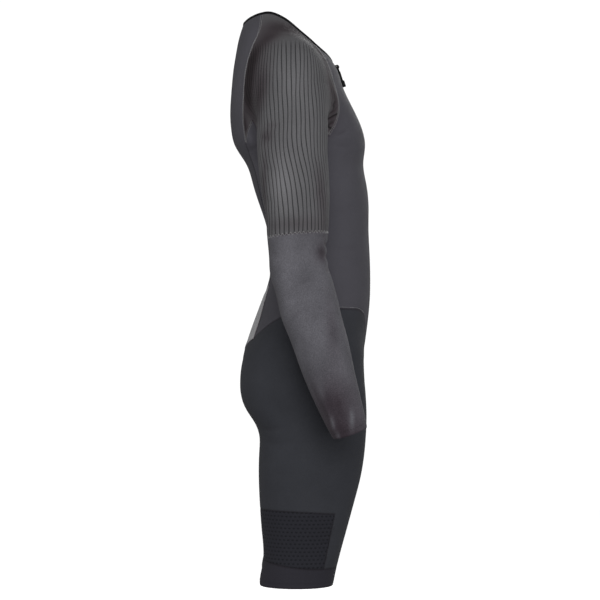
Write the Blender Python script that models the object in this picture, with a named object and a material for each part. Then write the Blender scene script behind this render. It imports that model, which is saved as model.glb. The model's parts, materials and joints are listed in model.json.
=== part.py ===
"""A cycling skinsuit, worn with no wearer: each cut panel is one closed wall of cloth.

Metres, +Z up. The suit faces -Y, its right-hand side is -X, and the origin is where the wearer's
shoulders hold it, between the two sides of the neckline.
"""

import math

import bpy
import numpy as np
from mathutils import Matrix

MM = 0.001
HALF_TURN = math.pi

# Cloth.
WALL = 2.0 * MM
TRIM_WALL = 1.0 * MM
SEAM_GAP = 0.3 * MM
LARGEST_DRAW = 1.5 * MM  # how far a sharp corner may be drawn in for the gap
LEAST_TURN = 0.01  # keeps that draw finite where an edge turns back on itself
SLIT = 0.01 * MM  # how far a tube's seam is kept apart while its panel is joined
WELD = 0.001 * MM  # points this near each other are one point
SHARP_ANGLE = 40

# The general figure that the suit is filled out to, as level sections in millimetres.
# height: above the origin. out: the section's centre, from the middle plane. front and back: how far
# the section reaches towards -Y and +Y of the origin. widest: how far behind the origin its widest
# line is. half_width: from its centre to its side. square: 2 is an ellipse, more is squarer.
SECTION = ("height", "out", "front", "back", "widest", "half_width", "square")
TRUNK_SECTIONS = (
    (40, 0, 20, 60, 20, 62, 2.0),
    (20, 0, 2, 64, 24, 66, 2.0),
    (5, 0, 8, 68, 26, 68, 2.0),
    (-11, 0, 26, 73, 25, 94, 2.0),
    (-27, 0, 40, 78, 22, 119, 2.0),
    (-43, 0, 56, 82, 18, 135, 2.05),
    (-60, 0, 71, 85, 14, 146, 2.1),
    (-85, 0, 89, 89, 8, 154, 2.2),
    (-114, 0, 99, 92, 2, 158, 2.3),
    (-140, 0, 110, 94, -3, 159, 2.35),
    (-170, 0, 125, 95, -8, 158, 2.4),
    (-195, 0, 135, 93, -13, 153, 2.4),
    (-219, 0, 139, 87, -18, 148, 2.4),
    (-250, 0, 136, 68, -25, 144, 2.35),
    (-285, 0, 141, 56, -36, 142, 2.3),
    (-320, 0, 145, 45, -45, 141, 2.3),
    (-360, 0, 145, 32, -52, 140, 2.3),
    (-410, 0, 147, 26, -58, 138, 2.3),
    (-452, 0, 148, 28, -58, 139, 2.3),
    (-490, 0, 147, 40, -54, 143, 2.3),
    (-522, 0, 144, 52, -48, 149, 2.3),
    (-560, 0, 139, 65, -40, 156, 2.3),
    (-600, 0, 132, 73, -33, 162, 2.25),
    (-640, 0, 122, 70, -29, 165, 2.2),
    (-680, 0, 115, 60, -28, 164, 2.2),
)
ARM_SECTIONS = (
    (-110, 152, 60, 46, -8, 58, 2.0),
    (-140, 166, 68, 47, -11, 59, 2.0),
    (-170, 180, 71, 46, -13, 59, 2.0),
    (-205, 197, 72, 45, -14, 58, 2.0),
    (-240, 213, 71, 44, -14, 57, 2.0),
    (-282, 227, 73, 40, -16, 55, 2.0),
    (-320, 236, 74, 35, -19, 53, 2.0),
    (-357, 243, 73, 29, -22, 51, 2.0),
    (-386, 247, 71, 27, -22, 49, 2.0),
    (-420, 251, 70, 24, -23, 49, 2.0),
    (-447, 253, 76, 22, -27, 49, 2.0),
    (-474, 255, 84, 14, -35, 49, 2.0),
    (-516, 258, 94, 4, -45, 48, 2.0),
    (-549, 260, 103, -9, -56, 47, 2.0),
    (-596, 262, 113, -26, -70, 44, 2.0),
    (-640, 264, 123, -44, -84, 39, 2.0),
    (-680, 266, 132, -63, -98, 33, 2.0),
    (-720, 268, 139, -84, -112, 28, 2.0),
)
LEG_SECTIONS = (
    (-560, 82, 122, 52, -35, 72, 2.1),
    (-600, 83, 131, 68, -33, 77, 2.1),
    (-640, 84, 137, 73, -32, 80, 2.1),
    (-670, 85, 139, 66, -35, 81, 2.1),
    (-699, 86, 139, 49, -42, 80, 2.1),
    (-718, 87, 138, 43, -47, 79.5, 2.1),
    (-742, 88, 136, 43, -47, 79, 2.1),
    (-782, 90, 130, 44, -43, 76, 2.1),
    (-833, 92, 117, 42, -37, 70, 2.1),
    (-880, 94, 104, 38.5, -33, 64, 2.1),
    (-920, 95, 93, 36, -29, 60, 2.1),
    (-938, 96, 88.5, 38, -26, 59, 2.1),
    (-959, 97, 84, 42, -21, 59, 2.1),
    (-985, 98, 79, 40, -20, 59, 2.1),
)
# Where a stack of sections rounds over, and how far past that level it reaches.
DOME = ("height", "reach")
TRUNK_DOME = (-628, -68)
ARM_DOME = (-128, 72)
LEG_DOME = (-590, 60)
ARMPIT_BLEND = ((-120, 50), (-180, 42), (-210, 18), (-240, 12))  # height, then the width blended there
HIP_BLEND = 30 * MM
CROTCH_BLEND = 12 * MM
SLOPE_STEP = 2 * MM
NORMAL_STEP = 0.5 * MM
CAST_ROUNDS = 45
CAST_SHARE = 0.8  # of the way to the surface, at each round
SETTLE_ROUNDS = 12
LEAST_SLOPE = 0.05

# Edges and seams, as (angle, height): degrees round the right-hand side from straight ahead, and
# millimetres above the origin.
NECKLINE = (
    (0, -76), (15, -73), (30, -66.5), (40, -62), (50, -53), (60, -34.5), (70, -13.5), (80, -2.5), (90, 1.5),
    (100, 0.5), (110, -2.5), (122, -6), (138, -10), (158, -11), (180, -11),
)
FRONT_RAGLAN = (
    (50.5, -52), (49, -84), (50, -108), (51, -132), (54.4, -157), (57.6, -177), (62, -194), (68, -213),
)
BACK_RAGLAN = (
    (101, 0), (99.5, -24), (102, -40), (107, -58), (111.5, -76), (116, -102), (120.5, -142), (124.7, -176),
)
TAIL_EDGE = ((124.7, -176), (127.3, -202), (130, -222))  # down to the tail's tip
ARCH = ((115.7, -186), (122, -200), (130, -222))  # the side panel's arch, from its top to the tail's tip
ARCH_ARM_SIDE = ((115.7, -186), (114.5, -200), (112.5, -216))  # its other side, towards the arm
CHEST_ROW = ((0, -205), (68, -213))
WAIST_SEAM = (
    (0, -566), (9, -565), (15, -561), (22, -551), (38, -525), (42.5, -513), (47, -506.5), (55, -504),
    (66, -502), (80, -502.5), (95, -507), (113, -517), (125, -535), (133, -552), (145, -564), (160, -576),
    (180, -586),
)
TONGUE_CORNER = 43  # where the tongue's side meets the waist seam
SIDE_BACK = (
    (130, -222), (136, -262), (140, -300), (145, -335), (148.5, -368), (150, -415), (149, -460),
    (143, -506), (138, -530), (133, -552),
)
SEAT_ROW = ((0, -640), (90, -652), (180, -640))
# Rings round a limb: -90 and 270 face the other side of the body.
SHOULDER_ROW = ((0, -205), (90, -200), (150, -196))  # between the ends of the upper sleeve's two seams
UNDERARM_RING_DROP = 45 * MM  # how much lower the first whole ring is on its outer side
CROTCH_RING_DROP = 42 * MM
ELBOW_SEAM = ((-90, -386), (0, -378), (90, -380), (180, -387), (270, -386))
CUFF_EDGE = ((-90, -701), (0, -692), (90, -704), (180, -711), (270, -701))
PANEL_TOP = ((-90, -843), (0, -848), (90, -841), (180, -840), (270, -843))
PANEL_FOOT = ((-90, -932), (0, -937), (90, -935), (180, -925), (270, -932))
HEM = ((-90, -969), (90, -969), (270, -969))

UNDERARM_BACK = -12 * MM  # how far behind the origin the underarm point is
UNDERARM_HEIGHTS = (-260 * MM, -150 * MM)  # it lies between these
UNDERARM_ACROSS = (-210 * MM, -120 * MM)
UNDERARM_STEPS = 91
UNDERARM_ROUNDS = 30
CROTCH_CENTRE = (0.0, -35 * MM, -600 * MM)

# Zip.
ZIP_HALF_GAP = 3.0 * MM
ZIP_TAPER = 8.0 * MM
ZIP_END = -484 * MM
ZIP_TAPE_EDGES = (-0.1, 0.45)  # shares of the front's first column
SLIDER_HEIGHT = -83.5 * MM
STOP_HEIGHT = ZIP_END + ZIP_TAPER + 4 * MM
HINGE_LIFT = 3.3 * MM  # of the pull's crossbar, above the front
PULL_REST = 30 * MM  # how far below the hinge the grip lies on the front
PULL_CLEARANCE = 1.2 * MM

# Zip parts as blocks in millimetres: along is up the zip, lift is out from the front of the suit.
BLOCK = ("half_width", "along_from", "along_to", "lift_from", "lift_to")
SLIDER_BLOCKS = (
    (2.7, -3.0, 5.0, -2.0, 0.3),  # neck, between the panels
    (4.0, -3.0, 5.0, 0.3, 1.8),  # plate
    (1.5, -2.6, 3.4, 1.8, 5.8),  # crown
)
SLIDER_HOLES = ((1.5, -1.5, 1.5, 1.8, 4.8),)
PULL_BLOCKS = (
    (3.0, -10.0, 0.5, -0.5, 0.5),  # bow
    (2.5, -27.0, -10.0, -0.5, 0.5),  # stem
    (3.2, -36.5, -27.0, -1.1, 1.1),  # grip
)
PULL_HOLES = ((2.0, -8.0, -0.5, -0.5, 0.5),)
STOP_BLOCKS = ((2.3, -1.5, 1.5, -2.0, -0.5),)

# Trim.
BINDING_HEIGHT = 3.0 * MM
BINDING_PROUD = 0.3 * MM
POCKET_ROWS = 3  # of the back's last rows

# Finishes: red, green and blue as linear light, roughness, metallic.
FINISH = ("red", "green", "blue", "roughness", "metallic")
FINISHES = {
    "body_cloth": (0.075, 0.076, 0.085, 0.75, 0.0),
    "ribbed_cloth": (0.070, 0.066, 0.068, 0.80, 0.0),
    "sleeve_cloth": (0.098, 0.096, 0.102, 0.70, 0.0),
    "shorts_cloth": (0.026, 0.027, 0.032, 0.70, 0.0),
    "dotted_cloth": (0.022, 0.023, 0.027, 0.75, 0.0),
    "band_cloth": (0.026, 0.025, 0.030, 0.70, 0.0),
    "pocket_cloth": (0.300, 0.300, 0.310, 0.55, 0.0),
    "binding": (0.008, 0.008, 0.009, 0.65, 0.0),
    "zip_tape": (0.007, 0.007, 0.008, 0.70, 0.0),
    "zip_metal": (0.006, 0.006, 0.007, 0.35, 0.6),
}

# Cells of each grid.
FRONT_COLUMNS = 6
UNDERARM_COLUMNS = 4  # from the front raglan seam to the underarm point
UNDERARM_BACK_COLUMNS = 2  # on to the arch's foot
TONGUE_COLUMNS = 3
BACK_COLUMNS = 5
SLEEVE_COLUMNS = 12
FRONT_RAGLAN_ROWS = 7
BACK_RAGLAN_ROWS = 6
TAIL_ROWS = 2
ARCH_ROWS = 2
UPPER_SLEEVE_ROWS = 6
LOWER_SLEEVE_ROWS = 10
ZIP_ROWS = 8
TONGUE_ROWS = 2
SEAT_ROWS = 5
CROTCH_ROWS = 3
THIGH_ROWS = 5
LEG_PANEL_ROWS = 3
LEG_BAND_ROWS = 1
LEG_PANEL_FROM = 7  # the column where the dotted panel's front edge is
DENSE = 16  # points worked out in each cell of a curve before it is spaced evenly


class Spline:
    """The natural cubic spline through some points, level beyond its ends."""

    def __init__(self, places, values):
        order = np.argsort(places)
        self.places = np.asarray(places, float)[order]
        self.values = np.asarray(values, float)[order]
        gaps = np.diff(self.places)
        steps = np.diff(self.values) / gaps
        system = np.eye(len(self.places))
        loads = np.zeros(len(self.places))
        for i in range(1, len(self.places) - 1):
            system[i, i - 1 : i + 2] = gaps[i - 1], 2 * (gaps[i - 1] + gaps[i]), gaps[i]
            loads[i] = 6 * (steps[i] - steps[i - 1])
        self.bends = np.linalg.solve(system, loads)

    def __call__(self, place):
        place = np.clip(place, self.places[0], self.places[-1])
        i = np.clip(np.searchsorted(self.places, place) - 1, 0, len(self.places) - 2)
        gap = self.places[i + 1] - self.places[i]
        a = (self.places[i + 1] - place) / gap
        b = 1 - a
        bend = (a**3 - a) * self.bends[i] + (b**3 - b) * self.bends[i + 1]
        return a * self.values[i] + b * self.values[i + 1] + bend * gap * gap / 6


class Stack:
    """A smooth solid of level sections, rounded over past one level. Its values say how far outside a point is."""

    def __init__(self, sections, dome):
        columns = dict(zip(SECTION, np.array(sections, float).T))
        heights = columns["height"] * MM
        self.out = Spline(heights, -columns["out"] * MM)
        self.front = Spline(heights, -columns["front"] * MM)
        self.back = Spline(heights, columns["back"] * MM)
        self.widest = Spline(heights, columns["widest"] * MM)
        self.half_width = Spline(heights, columns["half_width"] * MM)
        self.square = Spline(heights, columns["square"])
        dome = dict(zip(DOME, dome))
        self.dome_height = dome["height"] * MM
        self.dome_reach = dome["reach"] * MM

    def outside(self, x, y, z):
        past = np.maximum((z - self.dome_height) * np.sign(self.dome_reach), 0)
        level = np.where(past > 0, self.dome_height, z)
        middle = self.widest(level)
        across = x - self.out(level)
        across = np.where(np.abs(across) < 1e-7, 1e-7, across)
        along = y - middle
        depth = np.where(along < 0, middle - self.front(level), self.back(level) - middle)
        power = self.square(level)
        share = np.abs(across / self.half_width(level)) ** power + np.abs(along / depth) ** power
        share = np.hypot(share ** (1 / power), past / abs(self.dome_reach))
        return np.sqrt(across**2 + along**2 + past**2) * (1 - 1 / share)

    def distance(self, x, y, z):
        """About how far outside a point is, square to the wall."""
        slope = (self.outside(x, y, z + SLOPE_STEP) - self.outside(x, y, z - SLOPE_STEP)) / (2 * SLOPE_STEP)
        return self.outside(x, y, z) / np.sqrt(1 + slope**2)


ARMPIT_BLEND_AT = Spline(*(np.array(ARMPIT_BLEND, float) * MM).T)
TRUNK = Stack(TRUNK_SECTIONS, TRUNK_DOME)
ARM = Stack(ARM_SECTIONS, ARM_DOME)
LEG = Stack(LEG_SECTIONS, LEG_DOME)


def smooth_union(a, b, blend):
    overlap = np.maximum(blend - np.abs(a - b), 0)
    return np.minimum(a, b) - overlap**2 / (4 * blend)


def form(points):
    """About how far outside the filled-out figure each point is. Both sides are alike."""
    x, y, z = -np.abs(points[..., 0]), points[..., 1], points[..., 2]
    legs = smooth_union(LEG.distance(x, y, z), LEG.distance(-x, y, z), CROTCH_BLEND)
    body = smooth_union(TRUNK.distance(x, y, z), legs, HIP_BLEND)
    return smooth_union(body, ARM.distance(x, y, z), ARMPIT_BLEND_AT(z))


def unit(vectors):
    return vectors / np.maximum(np.linalg.norm(vectors, axis=-1, keepdims=True), 1e-12)


def gradient(points):
    steps = np.eye(3) * NORMAL_STEP
    sides = [form(points + step) - form(points - step) for step in steps]
    return np.stack(sides, axis=-1) / (2 * NORMAL_STEP)


def normals(points):
    return unit(gradient(points))


def cast(origins, directions):
    """Where rays from inside the figure leave it."""
    origins, directions = np.broadcast_arrays(origins, unit(np.asarray(directions, float)))
    reach = np.zeros(origins.shape[:-1])
    for _ in range(CAST_ROUNDS):
        reach = reach - CAST_SHARE * form(origins + reach[..., None] * directions)
    return origins + reach[..., None] * directions


def settle(points):
    """Moves points that are near the figure's surface onto it."""
    for _ in range(SETTLE_ROUNDS):
        slope = gradient(points)
        size = np.sum(slope * slope, axis=-1, keepdims=True)
        points = points - CAST_SHARE * form(points)[..., None] * slope / np.maximum(size, LEAST_SLOPE)
    return points


class Chart:
    """Places on the right-hand side of the figure, as (angle, height) round one stack's centre line."""

    def __init__(self, stack, whole_turn):
        self.stack = stack
        self.whole_turn = whole_turn

    def centre(self, heights):
        return np.stack([self.stack.out(heights), self.stack.widest(heights), heights], axis=-1)

    def point(self, places):
        angle, height = places[..., 0], places[..., 1]
        direction = np.stack([-np.sin(angle), -np.cos(angle), np.zeros_like(angle)], axis=-1)
        return cast(self.centre(height), direction)

    def place(self, points, near=0.0):
        """The angle, within half a turn of near, and the height of each point."""
        arm = points - self.centre(points[..., 2])
        angle = np.arctan2(-arm[..., 0], -arm[..., 1])
        angle = near + (angle - near + math.pi) % (2 * math.pi) - math.pi
        return np.stack([angle, points[..., 2]], axis=-1)


BODY_CHART = Chart(TRUNK, whole_turn=False)
ARM_CHART = Chart(ARM, whole_turn=True)
LEG_CHART = Chart(LEG, whole_turn=True)


def evenly(points, cells):
    """Points spaced evenly along a curve given by close points."""
    lengths = np.linalg.norm(np.diff(points, axis=0), axis=1)
    run = np.concatenate([[0], np.cumsum(lengths)])
    stops = np.linspace(0, run[-1], cells + 1)
    return np.stack([np.interp(stops, run, column) for column in points.T], axis=-1)


def joined(*curves):
    """Curves end to end, each starting where the last one stops."""
    return np.concatenate([curves[0]] + [curve[1:] for curve in curves[1:]])


def edge(table, start, stop):
    """The places of a (angle, height) table between two angles, ends included."""
    rise = Spline(*zip(*table))
    inner = [row for row in table if start < row[0] < stop]
    return [(start, float(rise(start)))] + inner + [(stop, float(rise(stop)))]


def seam(chart, places, cells):
    """A smooth curve on the figure through (angle, height) places, spaced evenly."""
    places = np.array(places, float) * (math.pi / 180, MM)
    spans = np.hypot(*(np.diff(places, axis=0) * (0.1, 1)).T)
    run = np.concatenate([[0], np.cumsum(spans)])
    stops = np.linspace(0, run[-1], cells * DENSE + 1)
    close = np.stack([Spline(run, column)(stops) for column in places.T], axis=-1)
    return evenly(chart.point(close), cells)


def spot(chart, place):
    return chart.point(np.array(place, float) * (math.pi / 180, MM))


def swept(points, cells):
    """A smooth curve on the figure through a few points near it."""
    spans = np.linalg.norm(np.diff(points, axis=0), axis=1)
    run = np.concatenate([[0], np.cumsum(spans)])
    stops = np.linspace(0, run[-1], cells * DENSE + 1)
    close = np.stack([Spline(run, column)(stops) for column in np.array(points).T], axis=-1)
    return evenly(np.concatenate([close[:1], settle(close[1:-1]), close[-1:]]), cells)


def zip_half_gap(heights):
    rise = np.clip((heights - ZIP_END) / ZIP_TAPER, 0, 1)
    return ZIP_HALF_GAP * rise * rise * (3 - 2 * rise)


def centre_front(top, foot, cells):
    """Down the middle of the front between two heights, beside the zip where there is one."""
    heights = np.linspace(top, foot, cells * DENSE + 1)
    origins = np.stack([-zip_half_gap(heights), TRUNK.widest(heights), heights], axis=-1)
    return evenly(cast(origins, (0, -1, 0)), cells)


def centre_back(top, foot, cells):
    heights = np.linspace(top, foot, cells * DENSE + 1)
    origins = np.stack([np.zeros_like(heights), TRUNK.widest(heights), heights], axis=-1)
    return evenly(cast(origins, (0, 1, 0)), cells)


def crotch_curve(start, cells):
    """From a point on the middle line of the seat to the lowest point of the crotch."""
    centre = np.array(CROTCH_CENTRE)
    turn = math.atan2(start[1] - centre[1], centre[2] - start[2])
    turns = np.linspace(turn, 0, cells * DENSE + 1)
    directions = np.stack([np.zeros_like(turns), np.sin(turns), -np.cos(turns)], axis=-1)
    return evenly(cast(centre, directions), cells)


def underarm_point():
    """The lowest point of the bridge between the trunk and the arm."""
    low, high = UNDERARM_HEIGHTS
    across = np.linspace(*UNDERARM_ACROSS, UNDERARM_STEPS)
    for _ in range(UNDERARM_ROUNDS):
        middle = (high + low) / 2
        row = np.stack([across, np.full_like(across, UNDERARM_BACK), np.full_like(across, middle)], axis=-1)
        if form(row).max() > 0:
            low = middle
        else:
            high = middle
    return row[np.argmax(form(row))]


def tilted_ring(chart, point, drop, cells):
    """A ring from a point on a limb's inner side, lower by drop on its outer side."""
    inner = point[2] / MM
    outer = (point[2] - drop) / MM
    middle = (inner + outer) / 2
    ring = seam(chart, ((-90, inner), (0, middle), (90, outer), (180, middle), (270, inner)), cells)
    ring[0], ring[-1] = point, point
    return ring


def coons(top, foot, start, end):
    """Places inside four edges of a grid, blended from them."""
    u = np.linspace(0, 1, len(start))[:, None, None]
    v = np.linspace(0, 1, len(top))[None, :, None]
    rows = (1 - u) * top[None] + u * foot[None]
    columns = (1 - v) * start[:, None] + v * end[:, None]
    corners = (1 - u) * ((1 - v) * top[0] + v * top[-1]) + u * ((1 - v) * foot[0] + v * foot[-1])
    return rows + columns - corners


def patch(chart, top, foot, start, end):
    """A grid of points on the figure inside four edges, each column spaced evenly."""
    turns = np.linspace(0, HALF_TURN, len(top)) if chart.whole_turn else np.zeros(len(top))
    places = coons(
        chart.place(top, turns),
        chart.place(foot, turns),
        chart.place(start, turns[0]),
        chart.place(end, turns[-1]),
    )
    points = chart.point(places)
    points[0], points[-1], points[:, 0], points[:, -1] = top, foot, start, end
    return points


def stacked(*grids):
    """Grids one below another, each starting with the last row of the one before."""
    return np.concatenate([grids[0]] + [grid[1:] for grid in grids[1:]])


def slit(grid, first_row):
    """Parts a tube's first and last columns from first_row down, so that its seam stays open."""
    grid[first_row:, 0] += unit(grid[first_row:, 1] - grid[first_row:, 0]) * SLIT
    grid[first_row:, -1] += unit(grid[first_row:, -2] - grid[first_row:, -1]) * SLIT
    return grid


def body_grids():
    """The right-hand half of the suit, as grids of points whose shared edges are the same points."""
    zip_top = NECKLINE[0][1] * MM
    zip_angle = math.degrees(math.asin(ZIP_HALF_GAP / (TRUNK.widest(zip_top) - TRUNK.front(zip_top))))
    front_turn, back_turn = FRONT_RAGLAN[0][0], BACK_RAGLAN[0][0]
    neck_front = seam(BODY_CHART, edge(NECKLINE, zip_angle, front_turn), FRONT_COLUMNS)
    neck_side = seam(BODY_CHART, edge(NECKLINE, front_turn, back_turn), SLEEVE_COLUMNS)
    neck_back = seam(BODY_CHART, edge(NECKLINE, back_turn, 180), BACK_COLUMNS)
    front_top = (front_turn, neck_side[0][2] / MM)
    back_top = (back_turn, neck_side[-1][2] / MM)
    front_raglan = seam(BODY_CHART, (front_top,) + FRONT_RAGLAN[1:], FRONT_RAGLAN_ROWS)
    back_raglan = seam(BODY_CHART, (back_top,) + BACK_RAGLAN[1:], BACK_RAGLAN_ROWS)
    tail_edge = seam(BODY_CHART, TAIL_EDGE, TAIL_ROWS)
    arch = seam(BODY_CHART, ARCH, ARCH_ROWS)
    tail_top = seam(BODY_CHART, (ARCH[0], TAIL_EDGE[0]), 1)[::-1]
    side_back = seam(BODY_CHART, SIDE_BACK, ZIP_ROWS + TONGUE_ROWS)

    chest = seam(BODY_CHART, edge(CHEST_ROW, zip_angle, CHEST_ROW[-1][0]), FRONT_COLUMNS)
    underarm = underarm_point()
    arch_foot = spot(BODY_CHART, ARCH_ARM_SIDE[-1])
    underarm_front = swept([chest[-1], underarm], UNDERARM_COLUMNS)
    underarm_back = swept([underarm, arch_foot], UNDERARM_BACK_COLUMNS)
    arch_side = seam(BODY_CHART, ARCH_ARM_SIDE, ARCH_ROWS)
    arch_base = seam(BODY_CHART, (ARCH_ARM_SIDE[-1], TAIL_EDGE[-1]), 1)

    front_upper = patch(
        BODY_CHART,
        neck_front,
        chest,
        centre_front(neck_front[0][2], chest[0][2], FRONT_RAGLAN_ROWS),
        front_raglan,
    )
    waist_end = SIDE_BACK[-1][0]
    waist = joined(
        seam(BODY_CHART, edge(WAIST_SEAM, 0, TONGUE_CORNER), TONGUE_COLUMNS),
        seam(
            BODY_CHART,
            edge(WAIST_SEAM, TONGUE_CORNER, waist_end),
            FRONT_COLUMNS + UNDERARM_COLUMNS + UNDERARM_BACK_COLUMNS + 1 - TONGUE_COLUMNS,
        ),
    )
    waist_back = seam(BODY_CHART, edge(WAIST_SEAM, waist_end, 180), BACK_COLUMNS)
    front_lower = patch(
        BODY_CHART,
        joined(chest, underarm_front, underarm_back, arch_base),
        waist,
        joined(
            centre_front(chest[0][2], ZIP_END + ZIP_TAPER, ZIP_ROWS - 1),
            centre_front(ZIP_END + ZIP_TAPER, ZIP_END, 1),
            centre_front(ZIP_END, waist[0][2], TONGUE_ROWS),
        ),
        side_back,
    )
    back = patch(
        BODY_CHART,
        neck_back,
        waist_back,
        joined(back_raglan, tail_edge, side_back),
        joined(
            centre_back(neck_back[-1][2], back_raglan[-1][2], BACK_RAGLAN_ROWS),
            centre_back(back_raglan[-1][2], tail_edge[-1][2], TAIL_ROWS),
            centre_back(tail_edge[-1][2], waist_back[-1][2], ZIP_ROWS + TONGUE_ROWS),
        ),
    )
    point_row = np.repeat(arch[:1], 2, axis=0)
    tip_row = np.repeat(arch[-1:], 2, axis=0)
    lobe = patch(BODY_CHART, point_row, arch_base, arch_side, arch)
    tail = patch(BODY_CHART, tail_top[::-1], tip_row, arch, tail_edge)
    return {
        "neckline": joined(neck_front, neck_side, neck_back),
        "front_upper": front_upper,
        "front_lower": front_lower,
        "lobe": lobe,
        "back": back,
        "tail": tail,
        "sleeve": sleeve_grid(
            neck_side,
            front_raglan,
            joined(back_raglan, tail_top),
            underarm_front,
            joined(arch_side, underarm_back[::-1]),
        ),
        "leg": leg_grid(joined(waist, waist_back)),
    }


def sleeve_grid(neck_side, front_seam, back_seam, armhole_front, armhole_back):
    """The sleeve from the neckline to the cuff, as one grid."""
    front_place = np.degrees(ARM_CHART.place(front_seam[-1])[0]), front_seam[-1][2] / MM
    back_place = np.degrees(ARM_CHART.place(back_seam[-1], HALF_TURN)[0]), back_seam[-1][2] / MM
    inner = tuple(row for row in SHOULDER_ROW if front_place[0] < row[0] < back_place[0])
    shoulder = seam(ARM_CHART, (front_place,) + inner + (back_place,), SLEEVE_COLUMNS)
    shoulder[0], shoulder[-1] = front_seam[-1], back_seam[-1]
    underarm = armhole_front[-1]
    ring = tilted_ring(ARM_CHART, underarm, UNDERARM_RING_DROP, SLEEVE_COLUMNS)
    elbow = seam(ARM_CHART, ELBOW_SEAM, SLEEVE_COLUMNS)
    cuff = seam(ARM_CHART, CUFF_EDGE, SLEEVE_COLUMNS)
    upper_seam = swept([underarm] + inner_line(ARM_CHART, underarm[2], elbow[0][2]) + [elbow[0]], UPPER_SLEEVE_ROWS)
    lower_seam = swept([elbow[0]] + inner_line(ARM_CHART, elbow[0][2], cuff[0][2]) + [cuff[0]], LOWER_SLEEVE_ROWS)
    grid = stacked(
        patch(BODY_CHART, neck_side, shoulder, front_seam, back_seam),
        patch(ARM_CHART, shoulder, ring, armhole_front, armhole_back),
        patch(ARM_CHART, ring, elbow, upper_seam, upper_seam),
        patch(ARM_CHART, elbow, cuff, lower_seam, lower_seam),
    )
    return slit(grid, FRONT_RAGLAN_ROWS + UNDERARM_COLUMNS)


def inner_line(chart, top, foot, count=5):
    """Points down a limb's inner side, between two heights and not at them."""
    heights = np.linspace(top, foot, count + 2)[1:-1]
    return list(chart.point(np.stack([np.full(count, -HALF_TURN / 2), heights], axis=-1)))


def leg_grid(waist):
    """The shorts leg from the waist seam to the hem, as one grid."""
    columns = len(waist) - 1
    seat = seam(BODY_CHART, SEAT_ROW, columns)
    start = centre_front(waist[0][2], seat[0][2], SEAT_ROWS)
    end = centre_back(waist[-1][2], seat[-1][2], SEAT_ROWS)
    seat[0], seat[-1] = start[-1], end[-1]
    front_curve = crotch_curve(seat[0], CROTCH_ROWS)
    back_curve = crotch_curve(seat[-1], CROTCH_ROWS)
    front_curve[0], back_curve[0] = seat[0], seat[-1]
    ring = tilted_ring(LEG_CHART, front_curve[-1], CROTCH_RING_DROP, columns)
    back_curve[-1] = front_curve[-1]
    rings = [ring] + [seam(LEG_CHART, table, columns) for table in (PANEL_TOP, PANEL_FOOT, HEM)]
    grids = [
        patch(BODY_CHART, waist, seat, start, end),
        patch(LEG_CHART, seat, ring, front_curve, back_curve),
    ]
    for upper, lower, rows in zip(rings, rings[1:], (THIGH_ROWS, LEG_PANEL_ROWS, LEG_BAND_ROWS)):
        line = swept([upper[0]] + inner_line(LEG_CHART, upper[0][2], lower[0][2]) + [lower[0]], rows)
        grids.append(patch(LEG_CHART, upper, lower, line, line))
    return slit(stacked(*grids), SEAT_ROWS + CROTCH_ROWS)


def cells(*grids):
    """The cells of some grids, each as its corners in order, facing out on the right-hand side."""
    found = []
    for grid in grids:
        for upper, lower in zip(grid, grid[1:]):
            for column in range(len(upper) - 1):
                corners = [upper[column], upper[column + 1], lower[column + 1], lower[column]]
                following = corners[1:] + corners[:1]
                kept = [p for p, q in zip(corners, following) if np.linalg.norm(p - q) > WELD]
                found.append(np.array(kept))
    return found


def mirrored(right_cells):
    """The same cells on the left-hand side, still facing out and starting at the same corner."""
    return [np.concatenate([cell[:1], cell[:0:-1]]) * (-1, 1, 1) for cell in right_cells]


def welded(panel):
    """The distinct points of some cells, and each cell as the numbers of its points."""
    numbers = {}
    points = []
    faces = []
    for cell in panel:
        face = []
        for point in cell:
            key = tuple(np.round(point / WELD).astype(int))
            if key not in numbers:
                numbers[key] = len(points)
                points.append(point)
            face.append(numbers[key])
        faces.append(face)
    return np.array(points), faces


def rim_of(faces):
    """The directed edges that only one face has."""
    edges = [(a, b) for face in faces for a, b in zip(face, face[1:] + face[:1])]
    present = set(edges)
    return [(a, b) for a, b in edges if (b, a) not in present]


def drawn_in(points, outward, rim):
    """The points with the rim's moved into the panel by half of the gap between pieces."""
    inward = {}
    for a, b in rim:
        along = points[b] - points[a]
        for end in (a, b):
            inward.setdefault(end, []).append(unit(np.cross(outward[end], along)))
    moved = points.copy()
    for end, (first, second) in inward.items():
        draw = (first + second) / max(1 + first @ second, LEAST_TURN) * SEAM_GAP / 2
        moved[end] += draw * min(1, LARGEST_DRAW / np.linalg.norm(draw))
    return moved


def rim_triangles(points, rim):
    """The wall's edge faces. Two pieces that share a seam split them the same way, from the higher end."""
    count = len(points)
    triangles = []
    for a, b in rim:
        if tuple(points[a][::-1]) > tuple(points[b][::-1]):
            triangles += [[b, a, b + count], [a, a + count, b + count]]
        else:
            triangles += [[b, a, a + count], [b, a + count, b + count]]
    return triangles


def material(finish):
    row = dict(zip(FINISH, FINISHES[finish]))
    made = bpy.data.materials.new(finish)
    made.use_nodes = True
    shader = made.node_tree.nodes["Principled BSDF"]
    shader.inputs["Base Color"].default_value = (row["red"], row["green"], row["blue"], 1)
    shader.inputs["Roughness"].default_value = row["roughness"]
    shader.inputs["Metallic"].default_value = row["metallic"]
    return made


def piece(name, points, faces, finish):
    """One named object with its own material."""
    mesh = bpy.data.meshes.new(name)
    mesh.from_pydata([tuple(point) for point in points], [], faces)
    mesh.materials.append(material(finish))
    mesh.shade_smooth()
    mesh.set_sharp_from_angle(angle=math.radians(SHARP_ANGLE))
    made = bpy.data.objects.new(name, mesh)
    bpy.context.scene.collection.objects.link(made)
    return made


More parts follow.
